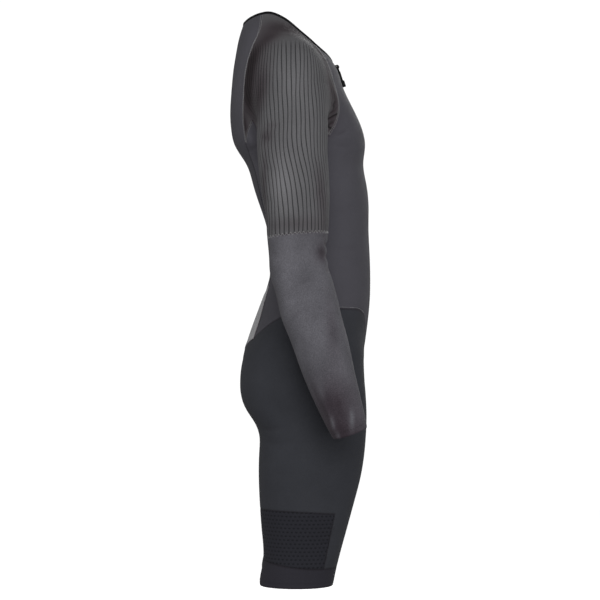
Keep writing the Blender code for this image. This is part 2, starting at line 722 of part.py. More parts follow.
def wall(name, panel, finish, thickness=WALL, lift=0.0):
    """A closed wall of cloth: its outer face is lift outside the panel's points."""
    points, faces = welded(panel)
    outward = normals(points)
    rim = rim_of(faces)
    outer = drawn_in(points, outward, rim) + lift * outward
    inner = outer - thickness * outward
    count = len(points)
    inner_faces = [[corner + count for corner in face[:1] + face[:0:-1]] for face in faces]
    rim_faces = rim_triangles(points, rim)
    return piece(name, np.concatenate([outer, inner]), faces + inner_faces + rim_faces, finish)


def both_sides(name, right_cells, finish, **sizes):
    wall(name + "_right", right_cells, finish, **sizes)
    wall(name + "_left", mirrored(right_cells), finish, **sizes)


def make_panels(grids):
    back, sleeve, leg = grids["back"], grids["sleeve"], grids["leg"]
    elbow_row = FRONT_RAGLAN_ROWS + UNDERARM_COLUMNS + UPPER_SLEEVE_ROWS
    panel_top = SEAT_ROWS + CROTCH_ROWS + THIGH_ROWS
    panel_foot = panel_top + LEG_PANEL_ROWS
    back_cells = cells(back)
    pocket_cells = cells(back[-POCKET_ROWS - 1 :])

    both_sides("front", cells(grids["front_upper"], grids["front_lower"], grids["lobe"]), "body_cloth")
    wall("back", back_cells + mirrored(back_cells), "body_cloth")
    both_sides("sleeve_upper", cells(sleeve[: elbow_row + 1], grids["tail"]), "ribbed_cloth")
    both_sides("sleeve_lower", cells(sleeve[elbow_row:]), "sleeve_cloth")
    shorts = cells(leg[: panel_top + 1], leg[panel_top : panel_foot + 1, : LEG_PANEL_FROM + 1])
    both_sides("shorts", shorts, "shorts_cloth")
    both_sides("leg_panel", cells(leg[panel_top : panel_foot + 1, LEG_PANEL_FROM:]), "dotted_cloth")
    both_sides("leg_band", cells(leg[panel_foot:]), "band_cloth")
    wall(
        "back_pocket",
        pocket_cells + mirrored(pocket_cells),
        "pocket_cloth",
        thickness=TRIM_WALL,
        lift=SEAM_GAP + TRIM_WALL,
    )


def make_binding(neckline):
    """A strip standing on the neckline all round, open at the zip."""
    tangents = unit(np.gradient(neckline, axis=0))
    tangents[-1] = (1, 0, 0)
    upward = unit(np.cross(tangents, normals(neckline)))
    upward *= np.sign(upward[:, 2:])
    strip = np.stack([neckline + BINDING_HEIGHT * upward, neckline + SEAM_GAP / 2 * upward])
    strip[:, -1, 0] = 0
    strip_cells = cells(strip)
    both = strip_cells + mirrored(strip_cells)
    wall("neck_binding", both, "binding", thickness=WALL + 2 * BINDING_PROUD, lift=BINDING_PROUD)


def make_tapes(grids):
    """Tape under the edge of each front, along the zip."""
    column = stacked(grids["front_upper"], grids["front_lower"][: ZIP_ROWS + 1, : FRONT_COLUMNS + 1])[:, :2]
    inner_share, outer_share = ZIP_TAPE_EDGES
    across = column[:, 1] - column[:, 0]
    tape = np.stack([column[:, 0] + inner_share * across, column[:, 0] + outer_share * across], axis=1)
    tape[..., 0] = np.minimum(tape[..., 0], 0)
    both_sides("zip_tape", cells(tape), "zip_tape", thickness=TRIM_WALL, lift=-WALL - SEAM_GAP)


def zip_frame(height):
    """The point on the middle of the front at a height, and the frame there: across, along, outward."""
    heights = height + np.array([-5, 0, 5]) * MM
    origins = np.stack([np.zeros(3), TRUNK.widest(heights), heights], axis=-1)
    low, middle, high = cast(origins, (0, -1, 0))
    return middle, frame_along(high - low)


def frame_along(direction):
    across = np.array([1.0, 0.0, 0.0])
    along = unit(direction)
    return np.stack([across, along, np.cross(across, along)], axis=-1)


def in_some(blocks, middle):
    rows = [dict(zip(BLOCK, block)) for block in blocks]
    return any(
        abs(middle[0]) < row["half_width"]
        and row["along_from"] < middle[1] < row["along_to"]
        and row["lift_from"] < middle[2] < row["lift_to"]
        for row in rows
    )


def skin_of(blocks, holes):
    """The skin of some blocks less some holes, as quads that face out."""
    rows = [dict(zip(BLOCK, block)) for block in blocks + holes]
    planes = [
        sorted({side * row["half_width"] for row in rows for side in (-1, 1)}),
        sorted({row[end] for row in rows for end in ("along_from", "along_to")}),
        sorted({row[end] for row in rows for end in ("lift_from", "lift_to")}),
    ]
    filled = set()
    for cell in np.ndindex(*(len(levels) - 1 for levels in planes)):
        middle = [(levels[i] + levels[i + 1]) / 2 for levels, i in zip(planes, cell)]
        if in_some(blocks, middle) and not in_some(holes, middle):
            filled.add(cell)
    quads = []
    for cell in sorted(filled):
        for axis in range(3):
            for side in (0, 1):
                beyond = tuple(i + (2 * side - 1) * (k == axis) for k, i in enumerate(cell))
                if beyond not in filled:
                    quads.append(side_of(cell, axis, side, planes))
    return quads


def side_of(cell, axis, side, planes):
    """One side of a cell, in metres, in order round its outward direction."""
    second, third = (axis + 1) % 3, (axis + 2) % 3
    corners = []
    for i, j in ((0, 0), (1, 0), (1, 1), (0, 1))[:: 2 * side - 1]:
        corner = [0.0, 0.0, 0.0]
        corner[axis] = planes[axis][cell[axis] + side] * MM
        corner[second] = planes[second][cell[second] + i] * MM
        corner[third] = planes[third][cell[third] + j] * MM
        corners.append(corner)
    return np.array(corners)


def block_piece(name, blocks, holes, place, frame):
    """A piece of blocks whose origin is at place and whose own axes are across, along and outward."""
    points, faces = welded(skin_of(blocks, holes))
    made = piece(name, points, faces, "zip_metal")
    matrix = np.eye(4)
    matrix[:3, :3] = frame
    matrix[:3, 3] = place
    made.matrix_world = Matrix(matrix.tolist())
    return made


def make_zip_parts():
    seat, frame = zip_frame(SLIDER_HEIGHT)
    block_piece("zip_slider", SLIDER_BLOCKS, SLIDER_HOLES, seat, frame)
    hinge = seat + HINGE_LIFT * frame[:, 2]
    below, chest = zip_frame(hinge[2] - PULL_REST)
    grip = dict(zip(BLOCK, PULL_BLOCKS[-1]))
    resting = below + (grip["lift_to"] * MM + PULL_CLEARANCE) * chest[:, 2]
    block_piece("zip_pull", PULL_BLOCKS, PULL_HOLES, hinge, frame_along(hinge - resting))
    block_piece("zip_stop", STOP_BLOCKS, (), *zip_frame(STOP_HEIGHT))


def main():
    for old in list(bpy.data.objects):
        bpy.data.objects.remove(old)
    grids = body_grids()
    make_panels(grids)
    make_binding(grids["neckline"])
    make_tapes(grids)
    make_zip_parts()


main()
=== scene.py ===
"""A cycling skinsuit, worn with no wearer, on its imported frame.

The solids' seams and filled-out figure are worked out again here, in metres, and the cloth is
meshed finely on them: ribs, dimples, folds, seams, stitches and the zip.
"""

import json
import math
import random

import bpy
import numpy as np
from mathutils import Matrix, kdtree

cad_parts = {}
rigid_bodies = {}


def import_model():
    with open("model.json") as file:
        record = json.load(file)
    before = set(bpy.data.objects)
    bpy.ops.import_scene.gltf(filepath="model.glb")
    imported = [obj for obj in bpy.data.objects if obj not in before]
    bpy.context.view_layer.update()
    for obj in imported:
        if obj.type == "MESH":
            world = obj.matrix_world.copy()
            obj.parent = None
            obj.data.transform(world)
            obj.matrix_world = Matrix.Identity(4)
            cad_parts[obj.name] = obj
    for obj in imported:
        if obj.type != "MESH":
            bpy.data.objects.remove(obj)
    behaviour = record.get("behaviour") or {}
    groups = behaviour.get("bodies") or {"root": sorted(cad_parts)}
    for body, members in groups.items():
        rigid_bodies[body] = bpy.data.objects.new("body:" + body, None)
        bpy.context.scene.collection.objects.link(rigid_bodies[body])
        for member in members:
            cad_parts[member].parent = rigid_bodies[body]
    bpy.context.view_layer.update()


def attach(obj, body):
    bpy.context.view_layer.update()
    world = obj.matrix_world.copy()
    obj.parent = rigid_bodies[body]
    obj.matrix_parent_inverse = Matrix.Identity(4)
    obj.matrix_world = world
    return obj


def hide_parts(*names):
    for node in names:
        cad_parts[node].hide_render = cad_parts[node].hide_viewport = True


for old in list(bpy.data.objects):
    bpy.data.objects.remove(old)
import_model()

MM = 0.001
HALF_TURN = math.pi
PLACE_UNITS = (HALF_TURN / 180, MM)  # of a place given as (angle, height)
TURNED = [0, 3, 2, 1]  # a quad's corners in the other order
SIDES = (("right", 1), ("left", -1))
UP = (0.0, 0.0, 1.0)

# Cloth.
WALL = 2.0 * MM  # of the solids
SEAM_GAP = 0.3 * MM
WELD = 0.001 * MM  # points this near each other are one point
SHARP_ANGLE = 60

# The general figure that the suit is filled out to, as level sections in millimetres.
# height: above the origin. out: the section's centre, from the middle plane. front and back: how far
# the section reaches towards -Y and +Y of the origin. widest: how far behind the origin its widest
# line is. half_width: from its centre to its side. square: 2 is an ellipse, more is squarer.
SECTION = ("height", "out", "front", "back", "widest", "half_width", "square")
TRUNK_SECTIONS = (
    (40, 0, 20, 60, 20, 62, 2.0),
    (20, 0, 2, 64, 24, 66, 2.0),
    (5, 0, 8, 68, 26, 68, 2.0),
    (-11, 0, 26, 73, 25, 94, 2.0),
    (-27, 0, 40, 78, 22, 119, 2.0),
    (-43, 0, 56, 82, 18, 135, 2.05),
    (-60, 0, 71, 85, 14, 146, 2.1),
    (-85, 0, 89, 89, 8, 154, 2.2),
    (-114, 0, 99, 92, 2, 158, 2.3),
    (-140, 0, 110, 94, -3, 159, 2.35),
    (-170, 0, 125, 95, -8, 158, 2.4),
    (-195, 0, 135, 93, -13, 153, 2.4),
    (-219, 0, 139, 87, -18, 148, 2.4),
    (-250, 0, 136, 68, -25, 144, 2.35),
    (-285, 0, 141, 56, -36, 142, 2.3),
    (-320, 0, 145, 45, -45, 141, 2.3),
    (-360, 0, 145, 32, -52, 140, 2.3),
    (-410, 0, 147, 26, -58, 138, 2.3),
    (-452, 0, 148, 28, -58, 139, 2.3),
    (-490, 0, 147, 40, -54, 143, 2.3),
    (-522, 0, 144, 52, -48, 149, 2.3),
    (-560, 0, 139, 65, -40, 156, 2.3),
    (-600, 0, 132, 73, -33, 162, 2.25),
    (-640, 0, 122, 70, -29, 165, 2.2),
    (-680, 0, 115, 60, -28, 164, 2.2),
)
ARM_SECTIONS = (
    (-110, 152, 60, 46, -8, 58, 2.0),
    (-140, 166, 68, 47, -11, 59, 2.0),
    (-170, 180, 71, 46, -13, 59, 2.0),
    (-205, 197, 72, 45, -14, 58, 2.0),
    (-240, 213, 71, 44, -14, 57, 2.0),
    (-282, 227, 73, 40, -16, 55, 2.0),
    (-320, 236, 74, 35, -19, 53, 2.0),
    (-357, 243, 73, 29, -22, 51, 2.0),
    (-386, 247, 71, 27, -22, 49, 2.0),
    (-420, 251, 70, 24, -23, 49, 2.0),
    (-447, 253, 76, 22, -27, 49, 2.0),
    (-474, 255, 84, 14, -35, 49, 2.0),
    (-516, 258, 94, 4, -45, 48, 2.0),
    (-549, 260, 103, -9, -56, 47, 2.0),
    (-596, 262, 113, -26, -70, 44, 2.0),
    (-640, 264, 123, -44, -84, 39, 2.0),
    (-680, 266, 132, -63, -98, 33, 2.0),
    (-720, 268, 139, -84, -112, 28, 2.0),
)
LEG_SECTIONS = (
    (-560, 82, 122, 52, -35, 72, 2.1),
    (-600, 83, 131, 68, -33, 77, 2.1),
    (-640, 84, 137, 73, -32, 80, 2.1),
    (-670, 85, 139, 66, -35, 81, 2.1),
    (-699, 86, 139, 49, -42, 80, 2.1),
    (-718, 87, 138, 43, -47, 79.5, 2.1),
    (-742, 88, 136, 43, -47, 79, 2.1),
    (-782, 90, 130, 44, -43, 76, 2.1),
    (-833, 92, 117, 42, -37, 70, 2.1),
    (-880, 94, 104, 38.5, -33, 64, 2.1),
    (-920, 95, 93, 36, -29, 60, 2.1),
    (-938, 96, 88.5, 38, -26, 59, 2.1),
    (-959, 97, 84, 42, -21, 59, 2.1),
    (-985, 98, 79, 40, -20, 59, 2.1),
)
# Where a stack of sections rounds over, and how far past that level it reaches.
DOME = ("height", "reach")
TRUNK_DOME = (-628, -68)
ARM_DOME = (-128, 72)
LEG_DOME = (-590, 60)
ARMPIT_BLEND = ((-120, 50), (-180, 42), (-210, 18), (-240, 12))  # height, then the width blended there
HIP_BLEND = 30 * MM
CROTCH_BLEND = 12 * MM
SLOPE_STEP = 2 * MM
NORMAL_STEP = 0.5 * MM
CAST_ROUNDS = 45
CAST_SHARE = 0.8  # of the way to the surface, at each round
SETTLE_ROUNDS = 12
LEAST_SLOPE = 0.05
LEAST_LENGTH = 1e-12
CENTRE_GAP = 1e-7  # how near a section's centre line a point may be, in metres
ROUGH_RADIUS = 0.1  # weighs turns against heights along a seam, in metres

# Edges and seams, as (angle, height): degrees round the right-hand side from straight ahead, and
# millimetres above the origin.
NECKLINE = (
    (0, -76), (15, -73), (30, -66.5), (40, -62), (50, -53), (60, -34.5), (70, -13.5), (80, -2.5), (90, 1.5),
    (100, 0.5), (110, -2.5), (122, -6), (138, -10), (158, -11), (180, -11),
)
FRONT_RAGLAN = (
    (50.5, -52), (49, -84), (50, -108), (51, -132), (54.4, -157), (57.6, -177), (62, -194), (68, -213),
)
BACK_RAGLAN = (
    (101, 0), (99.5, -24), (102, -40), (107, -58), (111.5, -76), (116, -102), (120.5, -142), (124.7, -176),
)
TAIL_EDGE = ((124.7, -176), (127.3, -202), (130, -222))  # down to the tail's tip
ARCH = ((115.7, -186), (122, -200), (130, -222))  # the side panel's arch, from its top to the tail's tip
ARCH_ARM_SIDE = ((115.7, -186), (114.5, -200), (112.5, -216))  # its other side, towards the arm
CHEST_ROW = ((0, -205), (68, -213))
WAIST_SEAM = (
    (0, -566), (9, -565), (15, -561), (22, -551), (38, -525), (42.5, -513), (47, -506.5), (55, -504),
    (66, -502), (80, -502.5), (95, -507), (113, -517), (125, -535), (133, -552), (145, -564), (160, -576),
    (180, -586),
)
TONGUE_CORNER = 43  # where the tongue's side meets the waist seam
SIDE_BACK = (
    (130, -222), (136, -262), (140, -300), (145, -335), (148.5, -368), (150, -415), (149, -460),
    (143, -506), (138, -530), (133, -552),
)
SEAT_ROW = ((0, -640), (90, -652), (180, -640))
# Rings round a limb: -90 and 270 face the other side of the body.
SHOULDER_ROW = ((0, -205), (90, -200), (150, -196))  # between the ends of the upper sleeve's two seams
UNDERARM_RING_DROP = 45 * MM  # how much lower the first whole ring is on its outer side
CROTCH_RING_DROP = 42 * MM
ELBOW_SEAM = ((-90, -386), (0, -378), (90, -380), (180, -387), (270, -386))
CUFF_EDGE = ((-90, -701), (0, -692), (90, -704), (180, -711), (270, -701))
PANEL_TOP = ((-90, -843), (0, -848), (90, -841), (180, -840), (270, -843))
PANEL_FOOT = ((-90, -932), (0, -937), (90, -935), (180, -925), (270, -932))
HEM = ((-90, -969), (90, -969), (270, -969))

UNDERARM_BACK = -12 * MM  # how far behind the origin the underarm point is
UNDERARM_HEIGHTS = (-260 * MM, -150 * MM)  # it lies between these
UNDERARM_ACROSS = (-210 * MM, -120 * MM)
UNDERARM_STEPS = 91
UNDERARM_ROUNDS = 30
CROTCH_CENTRE = (0.0, -35 * MM, -600 * MM)

# Zip.
ZIP_HALF_GAP = 3.0 * MM
ZIP_TAPER = 8.0 * MM
ZIP_END = -484 * MM
ZIP_TAPE_EDGES = (-0.1, 0.45)  # shares of the front's first column
SLIDER_HEIGHT = -83.5 * MM
STOP_HEIGHT = ZIP_END + ZIP_TAPER + 4 * MM
HINGE_LIFT = 3.3 * MM  # of the pull's crossbar, above the front
PULL_REST = 30 * MM  # how far below the hinge the grip lies on the front
PULL_CLEARANCE = 1.2 * MM

# Zip parts as blocks in millimetres: along is up the zip, lift is out from the front of the suit.
BLOCK = ("half_width", "along_from", "along_to", "lift_from", "lift_to")
SLIDER_BLOCKS = (
    (2.7, -3.0, 5.0, -2.0, 0.3),  # neck, between the panels
    (4.0, -3.0, 5.0, 0.3, 1.8),  # plate
    (1.5, -2.6, 3.4, 1.8, 5.8),  # crown
)
PULL_BLOCKS = (
    (3.0, -10.0, 0.5, -0.5, 0.5),  # bow
    (2.5, -27.0, -10.0, -0.5, 0.5),  # stem
    (3.2, -36.5, -27.0, -1.1, 1.1),  # grip
)
STOP_BLOCKS = ((2.3, -1.5, 1.5, -2.0, -0.5),)

# Trim.
BINDING_PROUD = 0.3 * MM
POCKET_ROWS = 3  # of the back's last rows

# Cells of each grid.
FRONT_COLUMNS = 6
UNDERARM_COLUMNS = 4  # from the front raglan seam to the underarm point
UNDERARM_BACK_COLUMNS = 2  # on to the arch's foot
FRONT_LOWER_COLUMNS = FRONT_COLUMNS + UNDERARM_COLUMNS + UNDERARM_BACK_COLUMNS + 1  # below the chest
TONGUE_COLUMNS = 3
BACK_COLUMNS = 5
SLEEVE_COLUMNS = 12
FRONT_RAGLAN_ROWS = 7
BACK_RAGLAN_ROWS = 6
TAIL_ROWS = 2
ARCH_ROWS = 2
UPPER_SLEEVE_ROWS = 6
LOWER_SLEEVE_ROWS = 10
ZIP_ROWS = 8
TONGUE_ROWS = 2
SEAT_ROWS = 5
CROTCH_ROWS = 3
THIGH_ROWS = 5
LEG_PANEL_ROWS = 3
LEG_BAND_ROWS = 1
LEG_PANEL_FROM = 7  # the column where the dotted panel's front edge is
INNER_POINTS = 5  # between two rings on a limb's inner side
DENSE = 16  # points worked out in each cell of a curve before it is spaced evenly


class Spline:
    """The natural cubic spline through some points, level beyond its ends."""

    def __init__(self, places, values):
        order = np.argsort(places)
        self.places = np.asarray(places, float)[order]
        self.values = np.asarray(values, float)[order]
        gaps = np.diff(self.places)
        steps = np.diff(self.values) / gaps
        system = np.eye(len(self.places))
        loads = np.zeros(len(self.places))
        for i in range(1, len(self.places) - 1):
            system[i, i - 1 : i + 2] = gaps[i - 1], 2 * (gaps[i - 1] + gaps[i]), gaps[i]
            loads[i] = 6 * (steps[i] - steps[i - 1])
        self.bends = np.linalg.solve(system, loads)

    def __call__(self, place):
        place = np.clip(place, self.places[0], self.places[-1])
        i = np.clip(np.searchsorted(self.places, place) - 1, 0, len(self.places) - 2)
        gap = self.places[i + 1] - self.places[i]
        a = (self.places[i + 1] - place) / gap
        b = 1 - a
        bend = (a**3 - a) * self.bends[i] + (b**3 - b) * self.bends[i + 1]
        return a * self.values[i] + b * self.values[i + 1] + bend * gap * gap / 6


class Stack:
    """A smooth solid of level sections, rounded over past one level."""

    def __init__(self, sections, dome):
        columns = dict(zip(SECTION, np.array(sections, float).T))
        heights = columns["height"] * MM
        self.out = Spline(heights, -columns["out"] * MM)
        self.front = Spline(heights, -columns["front"] * MM)
        self.back = Spline(heights, columns["back"] * MM)
        self.widest = Spline(heights, columns["widest"] * MM)
        self.half_width = Spline(heights, columns["half_width"] * MM)
        self.square = Spline(heights, columns["square"])
        dome = dict(zip(DOME, dome))
        self.dome_height = dome["height"] * MM
        self.dome_reach = dome["reach"] * MM

    def outside(self, x, y, z):
        """About how far outside a point is, measured from the section's centre."""
        past = np.maximum((z - self.dome_height) * np.sign(self.dome_reach), 0)
        level = np.where(past > 0, self.dome_height, z)
        middle = self.widest(level)
        across = x - self.out(level)
        across = np.where(np.abs(across) < CENTRE_GAP, CENTRE_GAP, across)
        along = y - middle
        depth = np.where(along < 0, middle - self.front(level), self.back(level) - middle)
        power = self.square(level)
        share = np.abs(across / self.half_width(level)) ** power + np.abs(along / depth) ** power
        share = np.hypot(share ** (1 / power), past / abs(self.dome_reach))
        return np.sqrt(across**2 + along**2 + past**2) * (1 - 1 / share)

    def distance(self, x, y, z):
        """About how far outside a point is, square to the wall."""
        rise = self.outside(x, y, z + SLOPE_STEP) - self.outside(x, y, z - SLOPE_STEP)
        slope = rise / (2 * SLOPE_STEP)
        return self.outside(x, y, z) / np.sqrt(1 + slope**2)


ARMPIT_BLEND_AT = Spline(*(np.array(ARMPIT_BLEND, float) * MM).T)
TRUNK = Stack(TRUNK_SECTIONS, TRUNK_DOME)
ARM = Stack(ARM_SECTIONS, ARM_DOME)
LEG = Stack(LEG_SECTIONS, LEG_DOME)


def smooth_union(a, b, blend):
    overlap = np.maximum(blend - np.abs(a - b), 0)
    return np.minimum(a, b) - overlap**2 / (4 * blend)


def form(points):
    """About how far outside the filled-out figure each point is. Both sides are alike."""
    x, y, z = -np.abs(points[..., 0]), points[..., 1], points[..., 2]
    legs = smooth_union(LEG.distance(x, y, z), LEG.distance(-x, y, z), CROTCH_BLEND)
    body = smooth_union(TRUNK.distance(x, y, z), legs, HIP_BLEND)
    return smooth_union(body, ARM.distance(x, y, z), ARMPIT_BLEND_AT(z))


def unit(vectors):
    return vectors / np.maximum(np.linalg.norm(vectors, axis=-1, keepdims=True), LEAST_LENGTH)


def gradient(points):
    steps = np.eye(3) * NORMAL_STEP
    sides = [form(points + step) - form(points - step) for step in steps]
    return np.stack(sides, axis=-1) / (2 * NORMAL_STEP)


def cast(origins, directions):
    """Where rays from inside the figure leave it."""
    origins, directions = np.broadcast_arrays(origins, unit(np.asarray(directions, float)))
    reach = np.zeros(origins.shape[:-1])
    for _ in range(CAST_ROUNDS):
        reach = reach - CAST_SHARE * form(origins + reach[..., None] * directions)
    return origins + reach[..., None] * directions


def settle(points):
    """Moves points that are near the figure's surface onto it."""
    for _ in range(SETTLE_ROUNDS):
        slope = gradient(points)
        size = np.sum(slope * slope, axis=-1, keepdims=True)
        points = points - CAST_SHARE * form(points)[..., None] * slope / np.maximum(size, LEAST_SLOPE)
    return points


class Chart:
    """Places on the right-hand side of the figure, as (angle, height) round one stack's centre line."""

    def __init__(self, stack, whole_turn):
        self.stack = stack
        self.whole_turn = whole_turn

    def centre(self, heights):
        return np.stack([self.stack.out(heights), self.stack.widest(heights), heights], axis=-1)

    def point(self, places):
        angle, height = places[..., 0], places[..., 1]
        direction = np.stack([-np.sin(angle), -np.cos(angle), np.zeros_like(angle)], axis=-1)
        return cast(self.centre(height), direction)

    def place(self, points, near=0.0):
        """The angle, within half a turn of near, and the height of each point."""
        arm = points - self.centre(points[..., 2])
        angle = np.arctan2(-arm[..., 0], -arm[..., 1])
        angle = near + (angle - near + math.pi) % (2 * math.pi) - math.pi
        return np.stack([angle, points[..., 2]], axis=-1)


BODY_CHART = Chart(TRUNK, whole_turn=False)
ARM_CHART = Chart(ARM, whole_turn=True)
LEG_CHART = Chart(LEG, whole_turn=True)


def looked_up(stops, run, values):
    """Rows of values that belong to stops along a run."""
    return np.stack([np.interp(stops, run, column) for column in values.T], axis=-1)


def evenly(points, cells):
    """Points spaced evenly along a curve given by close points."""
    lengths = np.linalg.norm(np.diff(points, axis=0), axis=1)
    run = np.concatenate([[0], np.cumsum(lengths)])
    stops = np.linspace(0, run[-1], cells + 1)
    return looked_up(stops, run, points)


def joined(*curves):
    """Curves end to end, each starting where the last one stops."""
    return np.concatenate([curves[0]] + [curve[1:] for curve in curves[1:]])


def edge(table, start, stop):
    """The places of a (angle, height) table between two angles, ends included."""
    rise = Spline(*zip(*table))
    inner = [row for row in table if start < row[0] < stop]
    return [(start, float(rise(start)))] + inner + [(stop, float(rise(stop)))]


def close_points(points, spans, cells):
    """Close points on the smooth curve through a few, whose spans between them are given."""
    run = np.concatenate([[0], np.cumsum(spans)])
    stops = np.linspace(0, run[-1], cells * DENSE + 1)
    return np.stack([Spline(run, column)(stops) for column in points.T], axis=-1)


def seam(chart, places, cells):
    """A smooth curve on the figure through (angle, height) places, spaced evenly."""
    places = np.array(places, float) * PLACE_UNITS
    spans = np.hypot(*(np.diff(places, axis=0) * (ROUGH_RADIUS, 1)).T)
    return evenly(chart.point(close_points(places, spans, cells)), cells)


def spot(chart, place):
    return chart.point(np.array(place, float) * PLACE_UNITS)


def swept(points, cells):
    """A smooth curve on the figure through a few points near it."""
    spans = np.linalg.norm(np.diff(points, axis=0), axis=1)
    close = close_points(np.array(points), spans, cells)
    return evenly(np.concatenate([close[:1], settle(close[1:-1]), close[-1:]]), cells)


def zip_half_gap(heights):
    rise = np.clip((heights - ZIP_END) / ZIP_TAPER, 0, 1)
    return ZIP_HALF_GAP * rise * rise * (3 - 2 * rise)


def level_cast(heights, out, way):
    """Where level rays from inside the trunk leave its front, with way -1, or its back, with 1."""
    origins = np.stack([out, TRUNK.widest(heights), heights], axis=-1)
    return cast(origins, (0, way, 0))


def centre_front(top, foot, cells):
    """Down the middle of the front between two heights, beside the zip where there is one."""
    heights = np.linspace(top, foot, cells * DENSE + 1)
    return evenly(level_cast(heights, -zip_half_gap(heights), -1), cells)


def centre_back(top, foot, cells):
    """Down the middle of the back between two heights."""
    heights = np.linspace(top, foot, cells * DENSE + 1)
    return evenly(level_cast(heights, np.zeros_like(heights), 1), cells)


def crotch_curve(start, cells):
    """From a point on the middle line of the seat to the lowest point of the crotch."""
    centre = np.array(CROTCH_CENTRE)
    turn = math.atan2(start[1] - centre[1], centre[2] - start[2])
    turns = np.linspace(turn, 0, cells * DENSE + 1)
    directions = np.stack([np.zeros_like(turns), np.sin(turns), -np.cos(turns)], axis=-1)
    return evenly(cast(centre, directions), cells)


def underarm_point():
    """The lowest point of the bridge between the trunk and the arm."""
    low, high = UNDERARM_HEIGHTS
    across = np.linspace(*UNDERARM_ACROSS, UNDERARM_STEPS)
    for _ in range(UNDERARM_ROUNDS):
        middle = (high + low) / 2
        back, level = np.full_like(across, UNDERARM_BACK), np.full_like(across, middle)
        row = np.stack([across, back, level], axis=-1)
        if form(row).max() > 0:
            low = middle
        else:
            high = middle
    return row[np.argmax(form(row))]


def tilted_ring(chart, point, drop, cells):
    """A ring from a point on a limb's inner side, lower by drop on its outer side."""
    inner = point[2] / MM
    outer = (point[2] - drop) / MM
    middle = (inner + outer) / 2
    places = ((-90, inner), (0, middle), (90, outer), (180, middle), (270, inner))
    ring = seam(chart, places, cells)
    ring[0], ring[-1] = point, point
    return ring


def coons(top, foot, start, end):
    """Places inside four edges of a grid, blended from them."""
    u = np.linspace(0, 1, len(start))[:, None, None]
    v = np.linspace(0, 1, len(top))[None, :, None]
    rows = (1 - u) * top[None] + u * foot[None]
    columns = (1 - v) * start[:, None] + v * end[:, None]
    corners = (1 - u) * ((1 - v) * top[0] + v * top[-1]) + u * ((1 - v) * foot[0] + v * foot[-1])
    return rows + columns - corners


def patch(chart, top, foot, start, end):
    """A grid of points on the figure inside four edges, each column spaced evenly."""
    turns = np.linspace(0, HALF_TURN, len(top)) if chart.whole_turn else np.zeros(len(top))
    places = coons(
        chart.place(top, turns),
        chart.place(foot, turns),
        chart.place(start, turns[0]),
        chart.place(end, turns[-1]),
    )
    points = chart.point(places)
    points[0], points[-1], points[:, 0], points[:, -1] = top, foot, start, end
    return points


def stacked(*grids):
    """Grids one below another, each starting with the last row of the one before."""
    return np.concatenate([grids[0]] + [grid[1:] for grid in grids[1:]])


def raglan_seam(table, top, rows):
    """A raglan seam whose first place is at the neckline's height."""
    return seam(BODY_CHART, ((table[0][0], top / MM),) + table[1:], rows)


def waist_curves():
    """The waist seam from the middle of the front to the side-back seam, and on to the middle of the back."""
    end = SIDE_BACK[-1][0]
    front = joined(
        seam(BODY_CHART, edge(WAIST_SEAM, 0, TONGUE_CORNER), TONGUE_COLUMNS),
        seam(BODY_CHART, edge(WAIST_SEAM, TONGUE_CORNER, end), FRONT_LOWER_COLUMNS - TONGUE_COLUMNS),
    )
    return front, seam(BODY_CHART, edge(WAIST_SEAM, end, 180), BACK_COLUMNS)


def front_edge(top, foot):
    """Down the middle of the front between two heights, with a row at each end of the zip's taper."""
    return joined(
        centre_front(top, ZIP_END + ZIP_TAPER, ZIP_ROWS - 1),
        centre_front(ZIP_END + ZIP_TAPER, ZIP_END, 1),
        centre_front(ZIP_END, foot, TONGUE_ROWS),
    )


def back_edge(*corners):
    """Down the middle of the back between the heights of four corners of the other edge."""
    heights = [corner[2] for corner in corners]
    rows = (BACK_RAGLAN_ROWS, TAIL_ROWS, ZIP_ROWS + TONGUE_ROWS)
    return joined(*(centre_back(top, foot, count) for top, foot, count in zip(heights, heights[1:], rows)))


